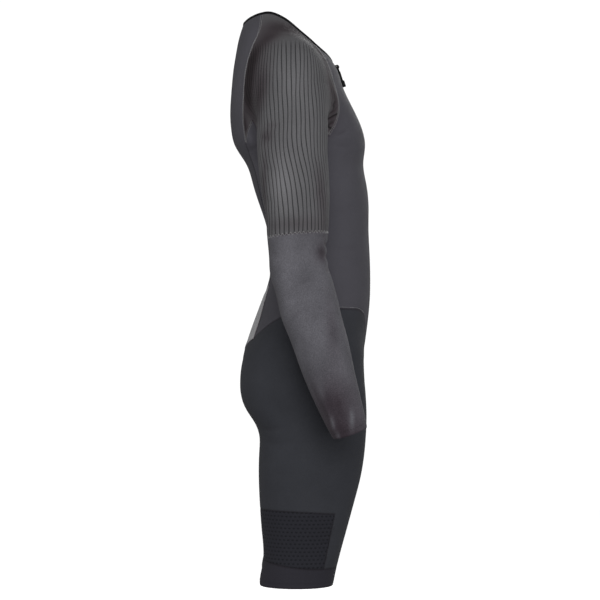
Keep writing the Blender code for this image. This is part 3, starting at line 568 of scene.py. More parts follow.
def body_grids():
    """The right-hand half of the suit, as grids of points whose shared edges are the same points."""
    zip_top = NECKLINE[0][1] * MM
    zip_angle = math.degrees(math.asin(ZIP_HALF_GAP / (TRUNK.widest(zip_top) - TRUNK.front(zip_top))))
    front_turn, back_turn = FRONT_RAGLAN[0][0], BACK_RAGLAN[0][0]
    neck_front = seam(BODY_CHART, edge(NECKLINE, zip_angle, front_turn), FRONT_COLUMNS)
    neck_side = seam(BODY_CHART, edge(NECKLINE, front_turn, back_turn), SLEEVE_COLUMNS)
    neck_back = seam(BODY_CHART, edge(NECKLINE, back_turn, 180), BACK_COLUMNS)
    front_raglan = raglan_seam(FRONT_RAGLAN, neck_side[0][2], FRONT_RAGLAN_ROWS)
    back_raglan = raglan_seam(BACK_RAGLAN, neck_side[-1][2], BACK_RAGLAN_ROWS)
    tail_edge = seam(BODY_CHART, TAIL_EDGE, TAIL_ROWS)
    arch = seam(BODY_CHART, ARCH, ARCH_ROWS)
    tail_top = seam(BODY_CHART, (ARCH[0], TAIL_EDGE[0]), 1)[::-1]
    side_back = seam(BODY_CHART, SIDE_BACK, ZIP_ROWS + TONGUE_ROWS)

    chest = seam(BODY_CHART, edge(CHEST_ROW, zip_angle, CHEST_ROW[-1][0]), FRONT_COLUMNS)
    underarm = underarm_point()
    underarm_front = swept([chest[-1], underarm], UNDERARM_COLUMNS)
    underarm_back = swept([underarm, spot(BODY_CHART, ARCH_ARM_SIDE[-1])], UNDERARM_BACK_COLUMNS)
    arch_side = seam(BODY_CHART, ARCH_ARM_SIDE, ARCH_ROWS)
    arch_base = seam(BODY_CHART, (ARCH_ARM_SIDE[-1], TAIL_EDGE[-1]), 1)
    lower_top = joined(chest, underarm_front, underarm_back, arch_base)
    waist, waist_back = waist_curves()

    centre_top = centre_front(neck_front[0][2], chest[0][2], FRONT_RAGLAN_ROWS)
    back_seam = joined(back_raglan, tail_edge, side_back)
    back_middle = back_edge(neck_back[-1], back_raglan[-1], tail_edge[-1], waist_back[-1])
    sleeve_back = joined(back_raglan, tail_top)
    armhole_back = joined(arch_side, underarm_back[::-1])
    centre_low = front_edge(chest[0][2], waist[0][2])
    point_row = np.repeat(arch[:1], 2, axis=0)
    tip_row = np.repeat(arch[-1:], 2, axis=0)
    return {
        "neckline": joined(neck_front, neck_side, neck_back),
        "front_upper": patch(BODY_CHART, neck_front, chest, centre_top, front_raglan),
        "front_lower": patch(BODY_CHART, lower_top, waist, centre_low, side_back),
        "lobe": patch(BODY_CHART, point_row, arch_base, arch_side, arch),
        "back": patch(BODY_CHART, neck_back, waist_back, back_seam, back_middle),
        "tail": patch(BODY_CHART, tail_top[::-1], tip_row, arch, tail_edge),
        "sleeve": sleeve_grid(neck_side, front_raglan, sleeve_back, underarm_front, armhole_back),
        "leg": leg_grid(joined(waist, waist_back)),
    }


def arm_place(point, near):
    """A point's (angle, height) on the arm, in degrees and millimetres."""
    return np.degrees(ARM_CHART.place(point, near)[0]), point[2] / MM


def sleeve_grid(neck_side, front_seam, back_seam, armhole_front, armhole_back):
    """The sleeve from the neckline to the cuff, as one grid."""
    front_place = arm_place(front_seam[-1], 0.0)
    back_place = arm_place(back_seam[-1], HALF_TURN)
    inner = tuple(row for row in SHOULDER_ROW if front_place[0] < row[0] < back_place[0])
    shoulder = seam(ARM_CHART, (front_place,) + inner + (back_place,), SLEEVE_COLUMNS)
    shoulder[0], shoulder[-1] = front_seam[-1], back_seam[-1]
    ring = tilted_ring(ARM_CHART, armhole_front[-1], UNDERARM_RING_DROP, SLEEVE_COLUMNS)
    elbow = seam(ARM_CHART, ELBOW_SEAM, SLEEVE_COLUMNS)
    cuff = seam(ARM_CHART, CUFF_EDGE, SLEEVE_COLUMNS)
    upper_seam = inner_seam(ARM_CHART, ring[0], elbow[0], UPPER_SLEEVE_ROWS)
    lower_seam = inner_seam(ARM_CHART, elbow[0], cuff[0], LOWER_SLEEVE_ROWS)
    return stacked(
        patch(BODY_CHART, neck_side, shoulder, front_seam, back_seam),
        patch(ARM_CHART, shoulder, ring, armhole_front, armhole_back),
        patch(ARM_CHART, ring, elbow, upper_seam, upper_seam),
        patch(ARM_CHART, elbow, cuff, lower_seam, lower_seam),
    )


def inner_seam(chart, top, foot, cells):
    """Down a limb's inner side from one point to another."""
    heights = np.linspace(top[2], foot[2], INNER_POINTS + 2)[1:-1]
    line = chart.point(np.stack([np.full(INNER_POINTS, -HALF_TURN / 2), heights], axis=-1))
    return swept([top, *line, foot], cells)


def leg_grid(waist):
    """The shorts leg from the waist seam to the hem, as one grid."""
    columns = len(waist) - 1
    seat = seam(BODY_CHART, SEAT_ROW, columns)
    start = centre_front(waist[0][2], seat[0][2], SEAT_ROWS)
    end = centre_back(waist[-1][2], seat[-1][2], SEAT_ROWS)
    seat[0], seat[-1] = start[-1], end[-1]
    front_curve = crotch_curve(seat[0], CROTCH_ROWS)
    back_curve = crotch_curve(seat[-1], CROTCH_ROWS)
    front_curve[0], back_curve[0] = seat[0], seat[-1]
    ring = tilted_ring(LEG_CHART, front_curve[-1], CROTCH_RING_DROP, columns)
    back_curve[-1] = front_curve[-1]
    rings = [ring] + [seam(LEG_CHART, table, columns) for table in (PANEL_TOP, PANEL_FOOT, HEM)]
    grids = [
        patch(BODY_CHART, waist, seat, start, end),
        patch(LEG_CHART, seat, ring, front_curve, back_curve),
    ]
    for upper, lower, rows in zip(rings, rings[1:], (THIGH_ROWS, LEG_PANEL_ROWS, LEG_BAND_ROWS)):
        line = inner_seam(LEG_CHART, upper[0], lower[0], rows)
        grids.append(patch(LEG_CHART, upper, lower, line, line))
    return stacked(*grids)


# ---------------------------------------------------------------------------------------------
# Fine cloth: the same panels, closely meshed, with ribs, dimples, folds and seams.

CLOTH = 0.9 * MM  # thickness of the thin shells
TRIM_CLOTH = 0.6 * MM
POCKET_LIFT = 0.8 * MM  # over the seam's gap
STRETCH = 1.12  # how much the worn cloth is stretched over its cut
SEAM_SINK = 0.45 * MM  # how far a panel's edge dips at its seam
SEAM_SINK_WIDTH = 1.8 * MM
# Painted shade along each seam, where the cloth dips.
SEAM_PAINTED_SHADE = 0.35
SEAM_PAINTED_SHADE_WIDTH = 1.2 * MM
FINE_ROUNDS = 2
CLOTH_UV = "cloth"
TONE = "tone"
RIB = "rib"
RIBBED = "ribbed"
EDGE_LINES = (0.035, 0.09)  # extra lines near a patch's edges, as shares of a coarse cell

# Fine parts to a coarse cell.
FRONT_PARTS = 9
LOBE_PARTS = 8
BACK_PARTS = 8
SLEEVE_PARTS = 8  # down the ribbed sleeve
RIB_PARTS = 24  # round it, close enough for its grooves
TAIL_PARTS = (14, 8)  # down and across
FOREARM_PARTS = 9
SHORTS_PARTS = 6
DOT_PARTS = (22, 14)  # down and across, close enough for the dimples
BAND_PARTS = 8
TAPE_PARTS = 4
BINDING_PARTS = 6

# Ribs of the upper sleeve, which run down it and lean forward below the armpit. A pair of turns, in
# radians from the sleeve's middle line, or of heights is where a change starts and where it ends.
RIB_PITCH = 7.5 * MM
RIB_DEPTH = 0.5 * MM
RIB_GROOVE = 1.3 * MM
RIB_CROWN = 0.15 * MM
RIB_TOP = -54 * MM
RIB_TOP_FADE = 16 * MM
RIB_LEAN = 9 * MM
RIB_LEAN_FROM = -215 * MM
RIB_LEAN_TO = -320 * MM
RIB_LEVEL = -150 * MM  # above it the ribs keep the arm's roundness of this level
RIB_SPINE_HEIGHTS = np.linspace(-400, -20, 60) * MM
RIB_TAIL_TURNS = (1.9, 2.3)  # the ribs fade out towards the tail behind the armpit
RIB_TAIL_HEIGHTS = (-235 * MM, -205 * MM)  # but not below it
RIB_SEAM_TURNS = (2.88, 3.05)  # and beside the seam on the arm's inner side
RIB_WAVES = ((0.09, 0.7, 34.0), (0.05, 1.9, 71.0))  # size in ribs, radians a rib, radians a metre up
# Painted shade in the ribs' grooves, as a dark line: how dark, and its half width.
RIB_PAINTED_SHADE = 0.82
RIB_LINE = 0.72 * MM  # half width of the painted shade line in a groove

# Dimples of the leg panel, in staggered rows.
DOT_PITCH = 7.6 * MM
DOT_ROW = 6.6 * MM
DOT_HALF_WIDTH = 2.3 * MM
DOT_HALF_HEIGHT = 1.5 * MM
DOT_DEPTH = 0.5 * MM
DOT_STEEPNESS = 1.5
# Painted shade in each dimple, as a dark oval.
DOT_PAINTED_SHADE = 0.45
DOT_MARK = (0.6, 1.2)  # the painted shade starts to fade at the first share of a dimple, and ends at the second

# Folds listed for the right side: a trough through three places of (angle, height), its
# depth and half width in millimetres.
FOLD = ("chart", "from", "by", "to", "depth", "width")
FOLD_PLACES = FOLD[1:4]
FOLDS = (
    # front of the armpit
    ("body", (55, -150), (59, -158), (66, -166), 2.0, 3.2),
    ("body", (56, -162), (61, -172), (69, -180), 2.4, 3.4),
    ("body", (58, -174), (64, -184), (73, -190), 2.6, 3.2),
    ("body", (60, -186), (66, -196), (76, -203), 2.4, 3.4),
    ("body", (63, -199), (69, -206), (80, -214), 2.2, 3.6),
    ("body", (66, -212), (72, -219), (84, -226), 1.8, 4.0),
    ("body", (48, -196), (56, -206), (66, -215), 1.2, 6.0),
    ("body", (45, -226), (56, -228), (70, -226), 1.0, 7.5),
    # behind the armpit
    ("body", (117, -176), (116, -186), (112, -200), 0.8, 3.4),
    ("body", (123, -184), (118, -194), (113, -206), 0.6, 3.4),
    ("body", (131, -206), (124, -212), (114, -214), 0.7, 5.0),
    ("body", (136, -236), (124, -232), (112, -226), 1.4, 6.0),
    ("arm", (150, -196), (128, -206), (98, -203), 1.2, 11.0),
    ("arm", (165, -214), (140, -226), (118, -228), 1.3, 8.0),
    ("arm", (48, -206), (66, -214), (84, -212), 0.7, 11.0),
    # upper arm
    ("arm", (30, -246), (48, -258), (74, -262), 0.7, 10.0),
    ("arm", (160, -262), (138, -276), (108, -282), 1.0, 10.0),
    ("arm", (20, -300), (40, -316), (66, -322), 0.9, 8.0),
    ("arm", (168, -318), (150, -330), (124, -334), 0.8, 9.0),
    # elbow: the crook in front, the point behind
    ("arm", (-24, -398), (2, -402), (34, -392), 2.6, 6.0),
    ("arm", (-20, -416), (8, -420), (46, -408), 2.0, 6.5),
    ("arm", (-10, -434), (16, -442), (44, -438), 1.4, 7.0),
    ("arm", (6, -384), (22, -388), (44, -384), 1.2, 4.5),
    ("arm", (170, -404), (146, -414), (116, -412), 1.0, 9.0),
    ("arm", (176, -440), (150, -446), (122, -440), 0.9, 9.0),
    # forearm
    ("arm", (60, -448), (86, -462), (120, -458), 1.1, 9.0),
    ("arm", (20, -486), (48, -498), (80, -492), 0.9, 8.0),
    ("arm", (96, -500), (118, -514), (150, -516), 1.2, 10.0),
    ("arm", (34, -536), (60, -546), (92, -540), 0.8, 9.0),
    ("arm", (110, -560), (130, -572), (158, -570), 0.9, 9.0),
    ("arm", (88, -620), (92, -660), (96, -704), 1.3, 9.0),
    ("arm", (124, -628), (128, -670), (131, -712), -1.2, 4.5),
    ("arm", (62, -640), (68, -672), (72, -698), -1.1, 4.5),
    ("arm", (150, -600), (146, -640), (148, -690), 1.0, 6.0),
    # front and waist
    ("body", (8, -214), (22, -217), (40, -214), 0.6, 9.0),
    ("body", (30, -330), (50, -338), (76, -334), 0.7, 11.0),
    ("body", (46, -396), (66, -404), (92, -400), 0.9, 11.0),
    ("body", (70, -436), (92, -446), (118, -448), 1.1, 9.0),
    ("body", (84, -470), (106, -478), (126, -486), 1.0, 8.0),
    ("body", (20, -470), (38, -476), (60, -474), 0.7, 10.0),
    ("body", (100, -300), (114, -316), (130, -326), 0.8, 10.0),
    # back
    ("body", (140, -404), (158, -412), (178, -408), 1.0, 10.0),
    ("body", (148, -446), (164, -450), (182, -444), 0.9, 9.0),
    ("body", (136, -120), (146, -150), (150, -190), 0.7, 12.0),
    ("body", (106, -60), (124, -96), (130, -140), 0.7, 10.0),
    # shoulder
    ("body", (62, -44), (76, -40), (92, -34), 0.8, 8.0),
    ("body", (56, -70), (60, -100), (62, -128), 0.9, 8.0),
    # shorts
    ("body", (2, -590), (10, -612), (24, -628), 1.6, 7.0),
    ("body", (4, -622), (14, -640), (32, -652), 1.5, 7.0),
    ("leg", (-72, -712), (-44, -706), (-14, -690), 1.8, 7.5),
    ("leg", (-78, -736), (-50, -734), (-18, -722), 1.4, 8.0),
    ("leg", (-104, -716), (-138, -712), (-168, -698), 1.8, 7.0),
    ("leg", (-108, -742), (-142, -742), (-176, -730), 1.4, 8.0),
    ("leg", (176, -702), (146, -706), (112, -696), 1.3, 8.0),
    ("leg", (168, -722), (142, -728), (108, -724), 1.0, 9.0),
    ("leg", (20, -690), (44, -700), (72, -698), 0.8, 12.0),
    ("leg", (150, -776), (128, -784), (98, -782), 0.6, 12.0),
    # under the seat
    ("leg", (176, -650), (168, -676), (158, -700), 1.2, 4.0),
    # small tucks at the front edge of the leg panel
    ("leg", (36, -868), (46, -871), (60, -869), 1.5, 2.4),
    ("leg", (38, -880), (48, -882), (60, -881), 1.2, 2.4),
    ("leg", (42, -893), (54, -895), (66, -893), 0.9, 2.6),
    ("leg", (40, -906), (50, -907), (64, -905), 0.7, 2.6),
)
FOLD_STEPS = 9
FOLD_REACH = 3  # half widths
FOLD_TAPER = 0.8  # a power: less keeps a fold's depth nearer to its ends
FOLD_SHOULDER = 0.55  # how strong the soft ridges beside a trough are
# Painted shade in the deep troughs of folds and a painted highlight on their ridges, as changes of tone.
FOLD_PAINTED_SHADE_DEPTH = 4.5 * MM
FOLD_PAINTED_SHADE = 0.5
FOLD_PAINTED_HIGHLIGHT = 0.3
FOLD_PAINTED_SHADE_FROM = 0.7 * MM  # shallower folds show by their shape alone
FOLD_SEED = 11
LEFT_SHIFT = (5, 7)  # how far the left side's folds may differ, in degrees and millimetres
LEFT_DEPTH = (0.65, 1.3)
LEAST_TONE = 0.16

# Painted light and shade, as soft patches of paler or darker tone on the pieces whose names start with a
# word: its place of (angle, height), its half width and half height in millimetres, and the change of
# tone. Paler patches are painted light and highlights, and darker ones are painted shade.
PAINTED_LIGHT_FIELDS = ("piece", "chart", "place", "half_width", "half_height", "change")
PAINTED_LIGHT_PATCHES = (
    # shoulder and upper arm: painted shade above, behind and in front, painted light in the middle and below
    ("sleeve", "arm", (186, -88), 33, 46, -0.80),
    ("sleeve", "arm", (200, -150), 34, 44, -0.78),
    ("sleeve", "arm", (152, -151), 20, 58, -0.50),
    ("sleeve", "body", (80, -30), 44, 22, -0.66),
    ("sleeve", "arm", (173, -51), 20, 20, -0.34),
    ("sleeve", "arm", (-48, -70), 26, 26, -0.50),
    ("sleeve", "arm", (82, -141), 30, 54, 0.26),
    ("sleeve", "arm", (71, -221), 24, 40, 0.16),
    ("sleeve", "arm", (112, -298), 22, 46, 0.46),
    ("sleeve", "arm", (-26, -140), 24, 42, -0.70),
    ("sleeve", "arm", (-38, -190), 14, 20, -0.42),
    ("sleeve", "arm", (38, -318), 13, 56, -0.32),
    ("sleeve", "arm", (138, -221), 15, 15, -0.32),
    ("sleeve", "arm", (157, -309), 9, 56, -0.36),
    ("sleeve", "arm", (100, -366), 60, 13, -0.24),
    # elbow and forearm: painted shade in the crook, down the front and towards the cuff, painted highlights
    # on the forearm and by the cuff
    ("sleeve", "arm", (35, -412), 14, 14, -0.50),
    ("sleeve", "arm", (122, -462), 24, 44, 0.12),
    ("sleeve", "arm", (96, -435), 7, 4, 0.14),
    ("sleeve", "arm", (123, -449), 7, 4, 0.14),
    ("sleeve", "arm", (126, -490), 9, 6, 0.14),
    ("sleeve", "arm", (136, -559), 9, 12, 0.12),
    ("sleeve", "arm", (55, -535), 12, 64, -0.22),
    ("sleeve", "arm", (113, -655), 46, 42, -0.60),
    ("sleeve", "arm", (111, -704), 44, 26, -0.56),
    ("sleeve", "arm", (124, -634), 7, 24, 0.22),
    ("sleeve", "arm", (130, -685), 4.5, 18, 0.50),
    ("sleeve", "arm", (131, -705), 4.5, 8, 0.40),
    ("sleeve", "arm", (70, -679), 4.5, 18, 0.46),
    # front and back: painted shade in the front armpit, behind the armpit and in a small pinch, painted light
    # on the lobe, down the side and on the upper back
    ("front", "body", (62, -172), 17, 17, -0.35),
    ("front", "body", (68, -196), 17, 17, -0.40),
    ("sleeve", "body", (125, -196), 9, 30, -0.60),
    ("front", "body", (123, -212), 7, 20, 0.40),
    ("front", "body", (132, -258), 22, 40, 0.30),
    ("front", "body", (143, -340), 20, 50, 0.26),
    ("front", "body", (148, -450), 22, 50, 0.22),
    ("back", "body", (118, -110), 42, 90, 0.28),
    ("front", "body", (116, -187), 4, 3, -0.60),
)
CHARTS = {"body": BODY_CHART, "arm": ARM_CHART, "leg": LEG_CHART}


def fold_lines(rows):
    """Each fold as a curve of points on the figure."""
    share = np.linspace(0, 1, FOLD_STEPS)[:, None]
    curves = []
    for row in rows:
        start, middle, stop = (np.array(row[key], float) * PLACE_UNITS for key in FOLD_PLACES)
        curves.append((1 - share) ** 2 * start + 2 * share * (1 - share) * middle + share**2 * stop)
    curves = np.array(curves)
    lines = np.empty(curves.shape[:2] + (3,))
    for name, chart in CHARTS.items():
        picked = np.array([row["chart"] == name for row in rows])
        lines[picked] = chart.point(curves[picked])
    return lines


def all_folds():
    """The right side's folds and, for the left, similar ones that differ a little."""
    right = [dict(zip(FOLD, row)) for row in FOLDS]
    draw = random.Random(FOLD_SEED)
    left = []
    for row in right:
        turn = draw.uniform(-LEFT_SHIFT[0], LEFT_SHIFT[0])
        rise = draw.uniform(-LEFT_SHIFT[1], LEFT_SHIFT[1])
        moved = {key: (row[key][0] + turn, row[key][1] + rise) for key in FOLD_PLACES}
        left.append({**row, **moved, "depth": row["depth"] * draw.uniform(*LEFT_DEPTH)})
    lines = np.concatenate([fold_lines(right), fold_lines(left) * (-1, 1, 1)])
    return [(line, row["depth"] * MM, row["width"] * MM) for line, row in zip(lines, right + left)]


def fold_lift(points):
    """How far the folds raise each point."""
    lift = np.zeros(len(points))
    for line, depth, width in FOLD_LINES:
        reach = FOLD_REACH * width
        near = np.all((points > line.min(0) - reach) & (points < line.max(0) + reach), axis=1)
        if not near.any():
            continue
        arms = points[near, None] - line[None, :-1]
        spans = np.diff(line, axis=0)
        share = np.clip(np.sum(arms * spans, axis=-1) / np.sum(spans * spans, axis=-1), 0, 1)
        gaps = np.linalg.norm(arms - share[..., None] * spans, axis=-1)
        closest = np.argmin(gaps, axis=1)
        rows = np.arange(len(gaps))
        off = (gaps[rows, closest] / width) ** 2
        run = (closest + share[rows, closest]) / len(spans)
        taper = np.sin(math.pi * np.clip(run, 0, 1)) ** FOLD_TAPER
        lift[near] -= depth * taper * (1 - FOLD_SHOULDER * off) * np.exp(-off)
    return lift


def painted_light_places():
    """The table of patches, each with its middle on the right-hand side."""
    rows = [dict(zip(PAINTED_LIGHT_FIELDS, row)) for row in PAINTED_LIGHT_PATCHES]
    return [{**row, "middle": spot(CHARTS[row["chart"]], row["place"])} for row in rows]


def painted_light_tone(name, points):
    """Both sides' cloth gets the patches' painted light and shade in its tone."""
    folded = np.concatenate([-np.abs(points[:, :1]), points[:, 1:]], axis=1)
    tone = np.ones(len(points))
    for row in PAINTED_LIGHT_PLACES:
        if name.startswith(row["piece"]):
            sizes = np.array([row["half_width"], row["half_width"], row["half_height"]]) * MM
            tone += row["change"] * np.exp(-np.sum(((folded - row["middle"]) / sizes) ** 2, axis=1))
    return np.maximum(tone, LEAST_TONE)


def smoothstep(value, start, stop):
    share = np.clip((value - start) / (stop - start), 0, 1)
    return share * share * (3 - 2 * share)


def rib_spine():
    """How far out the sleeve reaches at each of some heights."""
    level = np.minimum(RIB_SPINE_HEIGHTS, RIB_LEVEL)
    origins = np.stack([ARM.out(level), ARM.widest(level), RIB_SPINE_HEIGHTS], axis=-1)
    return cast(origins, (-1, 0, 0))[:, 0]


def rib_turn(points):
    """Each point's turn round the arm from the sleeve's middle line, and the arm's half depth there."""
    x, y, z = -np.abs(points[:, 0]), points[:, 1], points[:, 2]
    level = np.minimum(z, RIB_LEVEL)
    half_depth = (ARM.back(level) - ARM.front(level)) / 2
    middle = ARM.front(level) + half_depth - RIB_LEAN * smoothstep(-z, -RIB_LEAN_FROM, -RIB_LEAN_TO)
    inward = x - np.interp(z, RIB_SPINE_HEIGHTS, RIB_SPINE)
    return np.arctan2((y - middle) / half_depth, 1 - inward / ARM.half_width(level)), half_depth


def rib_phase(points):
    """How many ribs each point is from the sleeve's middle line."""
    turn, half_depth = rib_turn(points)
    phase = half_depth * turn / RIB_PITCH
    return phase + sum(size * np.sin(a * phase + b * points[:, 2]) for size, a, b in RIB_WAVES)


def rib_strength(points):
    """How strong the ribs are at each point, from 0 to 1."""
    turn, height = rib_turn(points)[0], points[:, 2]
    strength = smoothstep(-height, -RIB_TOP, -RIB_TOP + RIB_TOP_FADE)
    strength = strength * (1 - smoothstep(turn, *RIB_TAIL_TURNS) * smoothstep(height, *RIB_TAIL_HEIGHTS))
    return strength * (1 - smoothstep(np.abs(turn), *RIB_SEAM_TURNS))


def ribs(panel):
    """Narrow grooves down the upper sleeve, with low crowns between them."""
    phase = rib_phase(panel.points)
    gap = np.abs(phase - np.round(phase)) * RIB_PITCH
    groove = np.exp(-((gap / RIB_GROOVE) ** 2))
    crown = np.sin(math.pi * gap / RIB_PITCH)
    return (RIB_CROWN * crown - RIB_DEPTH * groove) * rib_strength(panel.points)


def dots(panel):
    """Small oval dimples in staggered rows."""
    row = np.floor(panel.uv[:, 1] / DOT_ROW)
    across = panel.uv[:, 0] / DOT_PITCH + 0.5 * (row % 2)
    off_across = (across - np.floor(across) - 0.5) * DOT_PITCH / DOT_HALF_WIDTH
    off_down = (panel.uv[:, 1] / DOT_ROW - row - 0.5) * DOT_ROW / DOT_HALF_HEIGHT
    return -DOT_DEPTH * np.exp(-((off_across**2 + off_down**2) ** DOT_STEEPNESS))


def cuts(first, last, parts, near=()):
    """Where to cut a grid, in its coarse cells: parts to a cell, and close lines beside the seams in near."""
    found = [np.linspace(first, last, (last - first) * parts + 1)]
    for place in near:
        for line in EDGE_LINES:
            found.append([place - line, place + line])
    found = np.unique(np.round(np.concatenate(found), 6))
    return found[(found >= first) & (found <= last)]


def spread(count, places, breaks):
    """A matrix that gives values at places along a row of count points, smooth between the breaks."""
    matrix = np.zeros((len(places), count))
    for first, last in zip(breaks, breaks[1:]):
        inside = (places >= first) & (places <= last)
        steps = np.arange(first, last + 1)
        for column in steps:
            matrix[inside, column] = Spline(steps, steps == column)(places[inside])
    return matrix


def lengths_along(points, axis):
    """How far each point is along its row or column."""
    steps = np.linalg.norm(np.diff(points, axis=axis), axis=-1)
    start = np.zeros_like(np.take(steps, [0], axis=axis))
    return np.concatenate([start, np.cumsum(steps, axis=axis)], axis=axis)


class Patch:
    """A fine grid on the figure. Its cloth coordinates are in metres, round the body and down it."""

    def __init__(self, grid, down, across, breaks=None):
        rows, columns = grid.shape[:2]
        last = {"start": rows - 1, "end": rows - 1, "top": columns - 1, "foot": columns - 1}
        breaks = {side: (0, end) for side, end in last.items()} | (breaks or {})
        to_end = (across / (columns - 1))[None, :, None]
        to_foot = (down / (rows - 1))[:, None, None]
        points = 0
        for side, side_share in (("start", 1 - to_end), ("end", to_end)):
            tall = np.tensordot(spread(rows, down, breaks[side]), grid, (1, 0))
            for rim, rim_share in (("top", 1 - to_foot), ("foot", to_foot)):
                wide = np.einsum("cj,rjx->rcx", spread(columns, across, breaks[rim]), tall)
                points = points + side_share * rim_share * wide
        self.points, self.outward = laid_on(points)
        across_lengths = lengths_along(self.points, 1)
        self.uv = np.stack([across_lengths - across_lengths[:, -1:] / 2, -self.points[..., 2]], axis=-1)

    def quads(self):
        """Corner numbers within the patch."""
        rows, columns = self.points.shape[:2]
        numbers = np.arange(rows * columns).reshape(rows, columns)
        corners = (numbers[:-1, :-1], numbers[:-1, 1:], numbers[1:, 1:], numbers[1:, :-1])
        return np.stack([corner.ravel() for corner in corners], axis=1)


def laid_on(points):
    """Points moved onto the figure, and its outward directions there."""
    for _ in range(FINE_ROUNDS):
        slope = gradient(points)
        size = np.sum(slope * slope, axis=-1, keepdims=True)
        points = points - form(points)[..., None] * slope / np.maximum(size, LEAST_SLOPE)
    return points, unit(slope)


class Panel:
    """One piece of cloth: its points, their outward directions, quads and cloth coordinates."""

    def __init__(self, *patches, sides=(1,)):
        points, outward, uv, quads = [], [], [], []
        count = 0
        for fine in patches:
            for side in sides:
                points.append(fine.points.reshape(-1, 3) * (side, 1, 1))
                outward.append(fine.outward.reshape(-1, 3) * (side, 1, 1))
                uv.append(fine.uv.reshape(-1, 2) * (side, 1))
                own = fine.quads() if side == 1 else fine.quads()[:, TURNED]
                quads.append(own + count)
                count += len(points[-1])
        points, outward, uv, quads = (np.concatenate(part) for part in (points, outward, uv, quads))
        keys = np.round(points / (10 * WELD)).astype(np.int64)
        _, first, index = np.unique(keys, axis=0, return_index=True, return_inverse=True)
        self.points, self.outward, self.uv = points[first], outward[first], uv[first]
        self.face_uv = uv[quads]
        self.faces = index.ravel()[quads]
        self.edge_gap = near_rim(self.points, self.faces)

    def mirrored(self):
        """The same piece on the left-hand side."""
        made = object.__new__(Panel)
        made.points, made.outward = self.points * (-1, 1, 1), self.outward * (-1, 1, 1)
        made.uv = self.uv * (-1, 1)
        made.face_uv = self.face_uv[:, TURNED] * (-1, 1)
        made.faces = self.faces[:, TURNED]
        made.edge_gap = self.edge_gap
        return made


def rim_edges(faces, count):
    """Directed edges that only one face has."""
    starts = faces.ravel()
    stops = np.roll(faces, -1, axis=1).ravel()
    real = starts != stops
    starts, stops = starts[real], stops[real]
    alone = ~np.isin(starts * count + stops, stops * count + starts)
    return starts[alone], stops[alone]


def make_mesh(name, points, faces, face_uv, finish, tone=None):
    """A smooth-shaded mesh object. A face's repeated corners are left out."""
    kept = faces != np.roll(faces, -1, axis=1)
    whole = kept.sum(axis=1) > 2
    faces, face_uv, kept = faces[whole], face_uv[whole], kept[whole]
    sizes = kept.sum(axis=1)
    mesh = bpy.data.meshes.new(name)
    mesh.vertices.add(len(points))
    mesh.vertices.foreach_set("co", np.ascontiguousarray(points, np.float32).ravel())
    mesh.loops.add(int(sizes.sum()))
    mesh.loops.foreach_set("vertex_index", faces[kept].astype(np.int32))
    mesh.polygons.add(len(faces))
    mesh.polygons.foreach_set("loop_start", (np.cumsum(sizes) - sizes).astype(np.int32))
    mesh.update(calc_edges=True)
    layer = mesh.uv_layers.new(name=CLOTH_UV)
    layer.data.foreach_set("uv", np.ascontiguousarray(face_uv[kept], np.float32).ravel())
    values = {TONE: np.ones(len(points)) if tone is None else tone}
    if finish == "ribbed_cloth":
        values |= {RIB: rib_phase(points), RIBBED: rib_strength(points)}
    for kind, value in values.items():
        mesh.attributes.new(kind, "FLOAT", "POINT").data.foreach_set("value", value.astype(np.float32))
    mesh.shade_smooth()
    mesh.set_sharp_from_angle(angle=math.radians(SHARP_ANGLE))
    mesh.materials.append(FINISHES[finish])
    made = link(bpy.data.objects.new(name, mesh))
    return made


def near_rim(points, faces):
    """How far each point is from the piece's edge."""
    starts, ends = rim_edges(faces, len(points))
    places = np.concatenate([points[starts], (points[starts] + points[ends]) / 2])
    tree = kdtree.KDTree(len(places))
    for i, place in enumerate(places):
        tree.insert(place, i)
    tree.balance()
    return np.array([tree.find(point)[2] for point in points])


def seam_dip(gap):
    """How the cloth sinks towards its seam: its lift, below zero, at a distance from it."""
    return -SEAM_SINK * np.exp(-((gap / SEAM_SINK_WIDTH) ** 2))


def cloth_tone(name, panel, folded):
    """The colour's tone at each point: painted shade at seams and in deep folds, a painted highlight on fold
    ridges, and the patches' painted light and shade.
    """
    seams = 1 - SEAM_PAINTED_SHADE * np.exp(-((panel.edge_gap / SEAM_PAINTED_SHADE_WIDTH) ** 2))
    deep = np.sign(folded) * np.maximum(np.abs(folded) - FOLD_PAINTED_SHADE_FROM, 0)
    folds = 1 + np.clip(deep / FOLD_PAINTED_SHADE_DEPTH, -FOLD_PAINTED_SHADE, FOLD_PAINTED_HIGHLIGHT)
    return seams * folds * painted_light_tone(name, panel.points)


def make_shell(name, panel, finish, relief=None, lift=0.0, thickness=CLOTH):
    """A thin closed shell of cloth. relief gives how far its pattern stands out."""
    folded = fold_lift(panel.points)
    raised = lift + folded + seam_dip(panel.edge_gap)
    if relief is not None:
        raised = raised + relief(panel)
    tone = cloth_tone(name, panel, folded)
    outer = panel.points + raised[:, None] * panel.outward
    inner = outer - thickness * panel.outward
    count = len(outer)
    starts, ends = rim_edges(panel.faces, count)
    rim = np.stack([ends, starts, starts + count, ends + count], axis=1)
    return make_mesh(
        name,
        np.concatenate([outer, inner]),
        np.concatenate([panel.faces, panel.faces[:, TURNED] + count, rim]),
        np.concatenate([panel.face_uv, panel.face_uv[:, TURNED], panel.uv[rim % count]]),
        finish,
        np.concatenate([tone, tone]),
    )


def cloth_area(panel):
    """The surface of one face of a piece, in square metres."""
    corners = panel.points[panel.faces]
    diagonals = corners[:, 2] - corners[:, 0], corners[:, 3] - corners[:, 1]
    return 0.5 * np.linalg.norm(np.cross(*diagonals), axis=1).sum()


# ---------------------------------------------------------------------------------------------
# Materials.

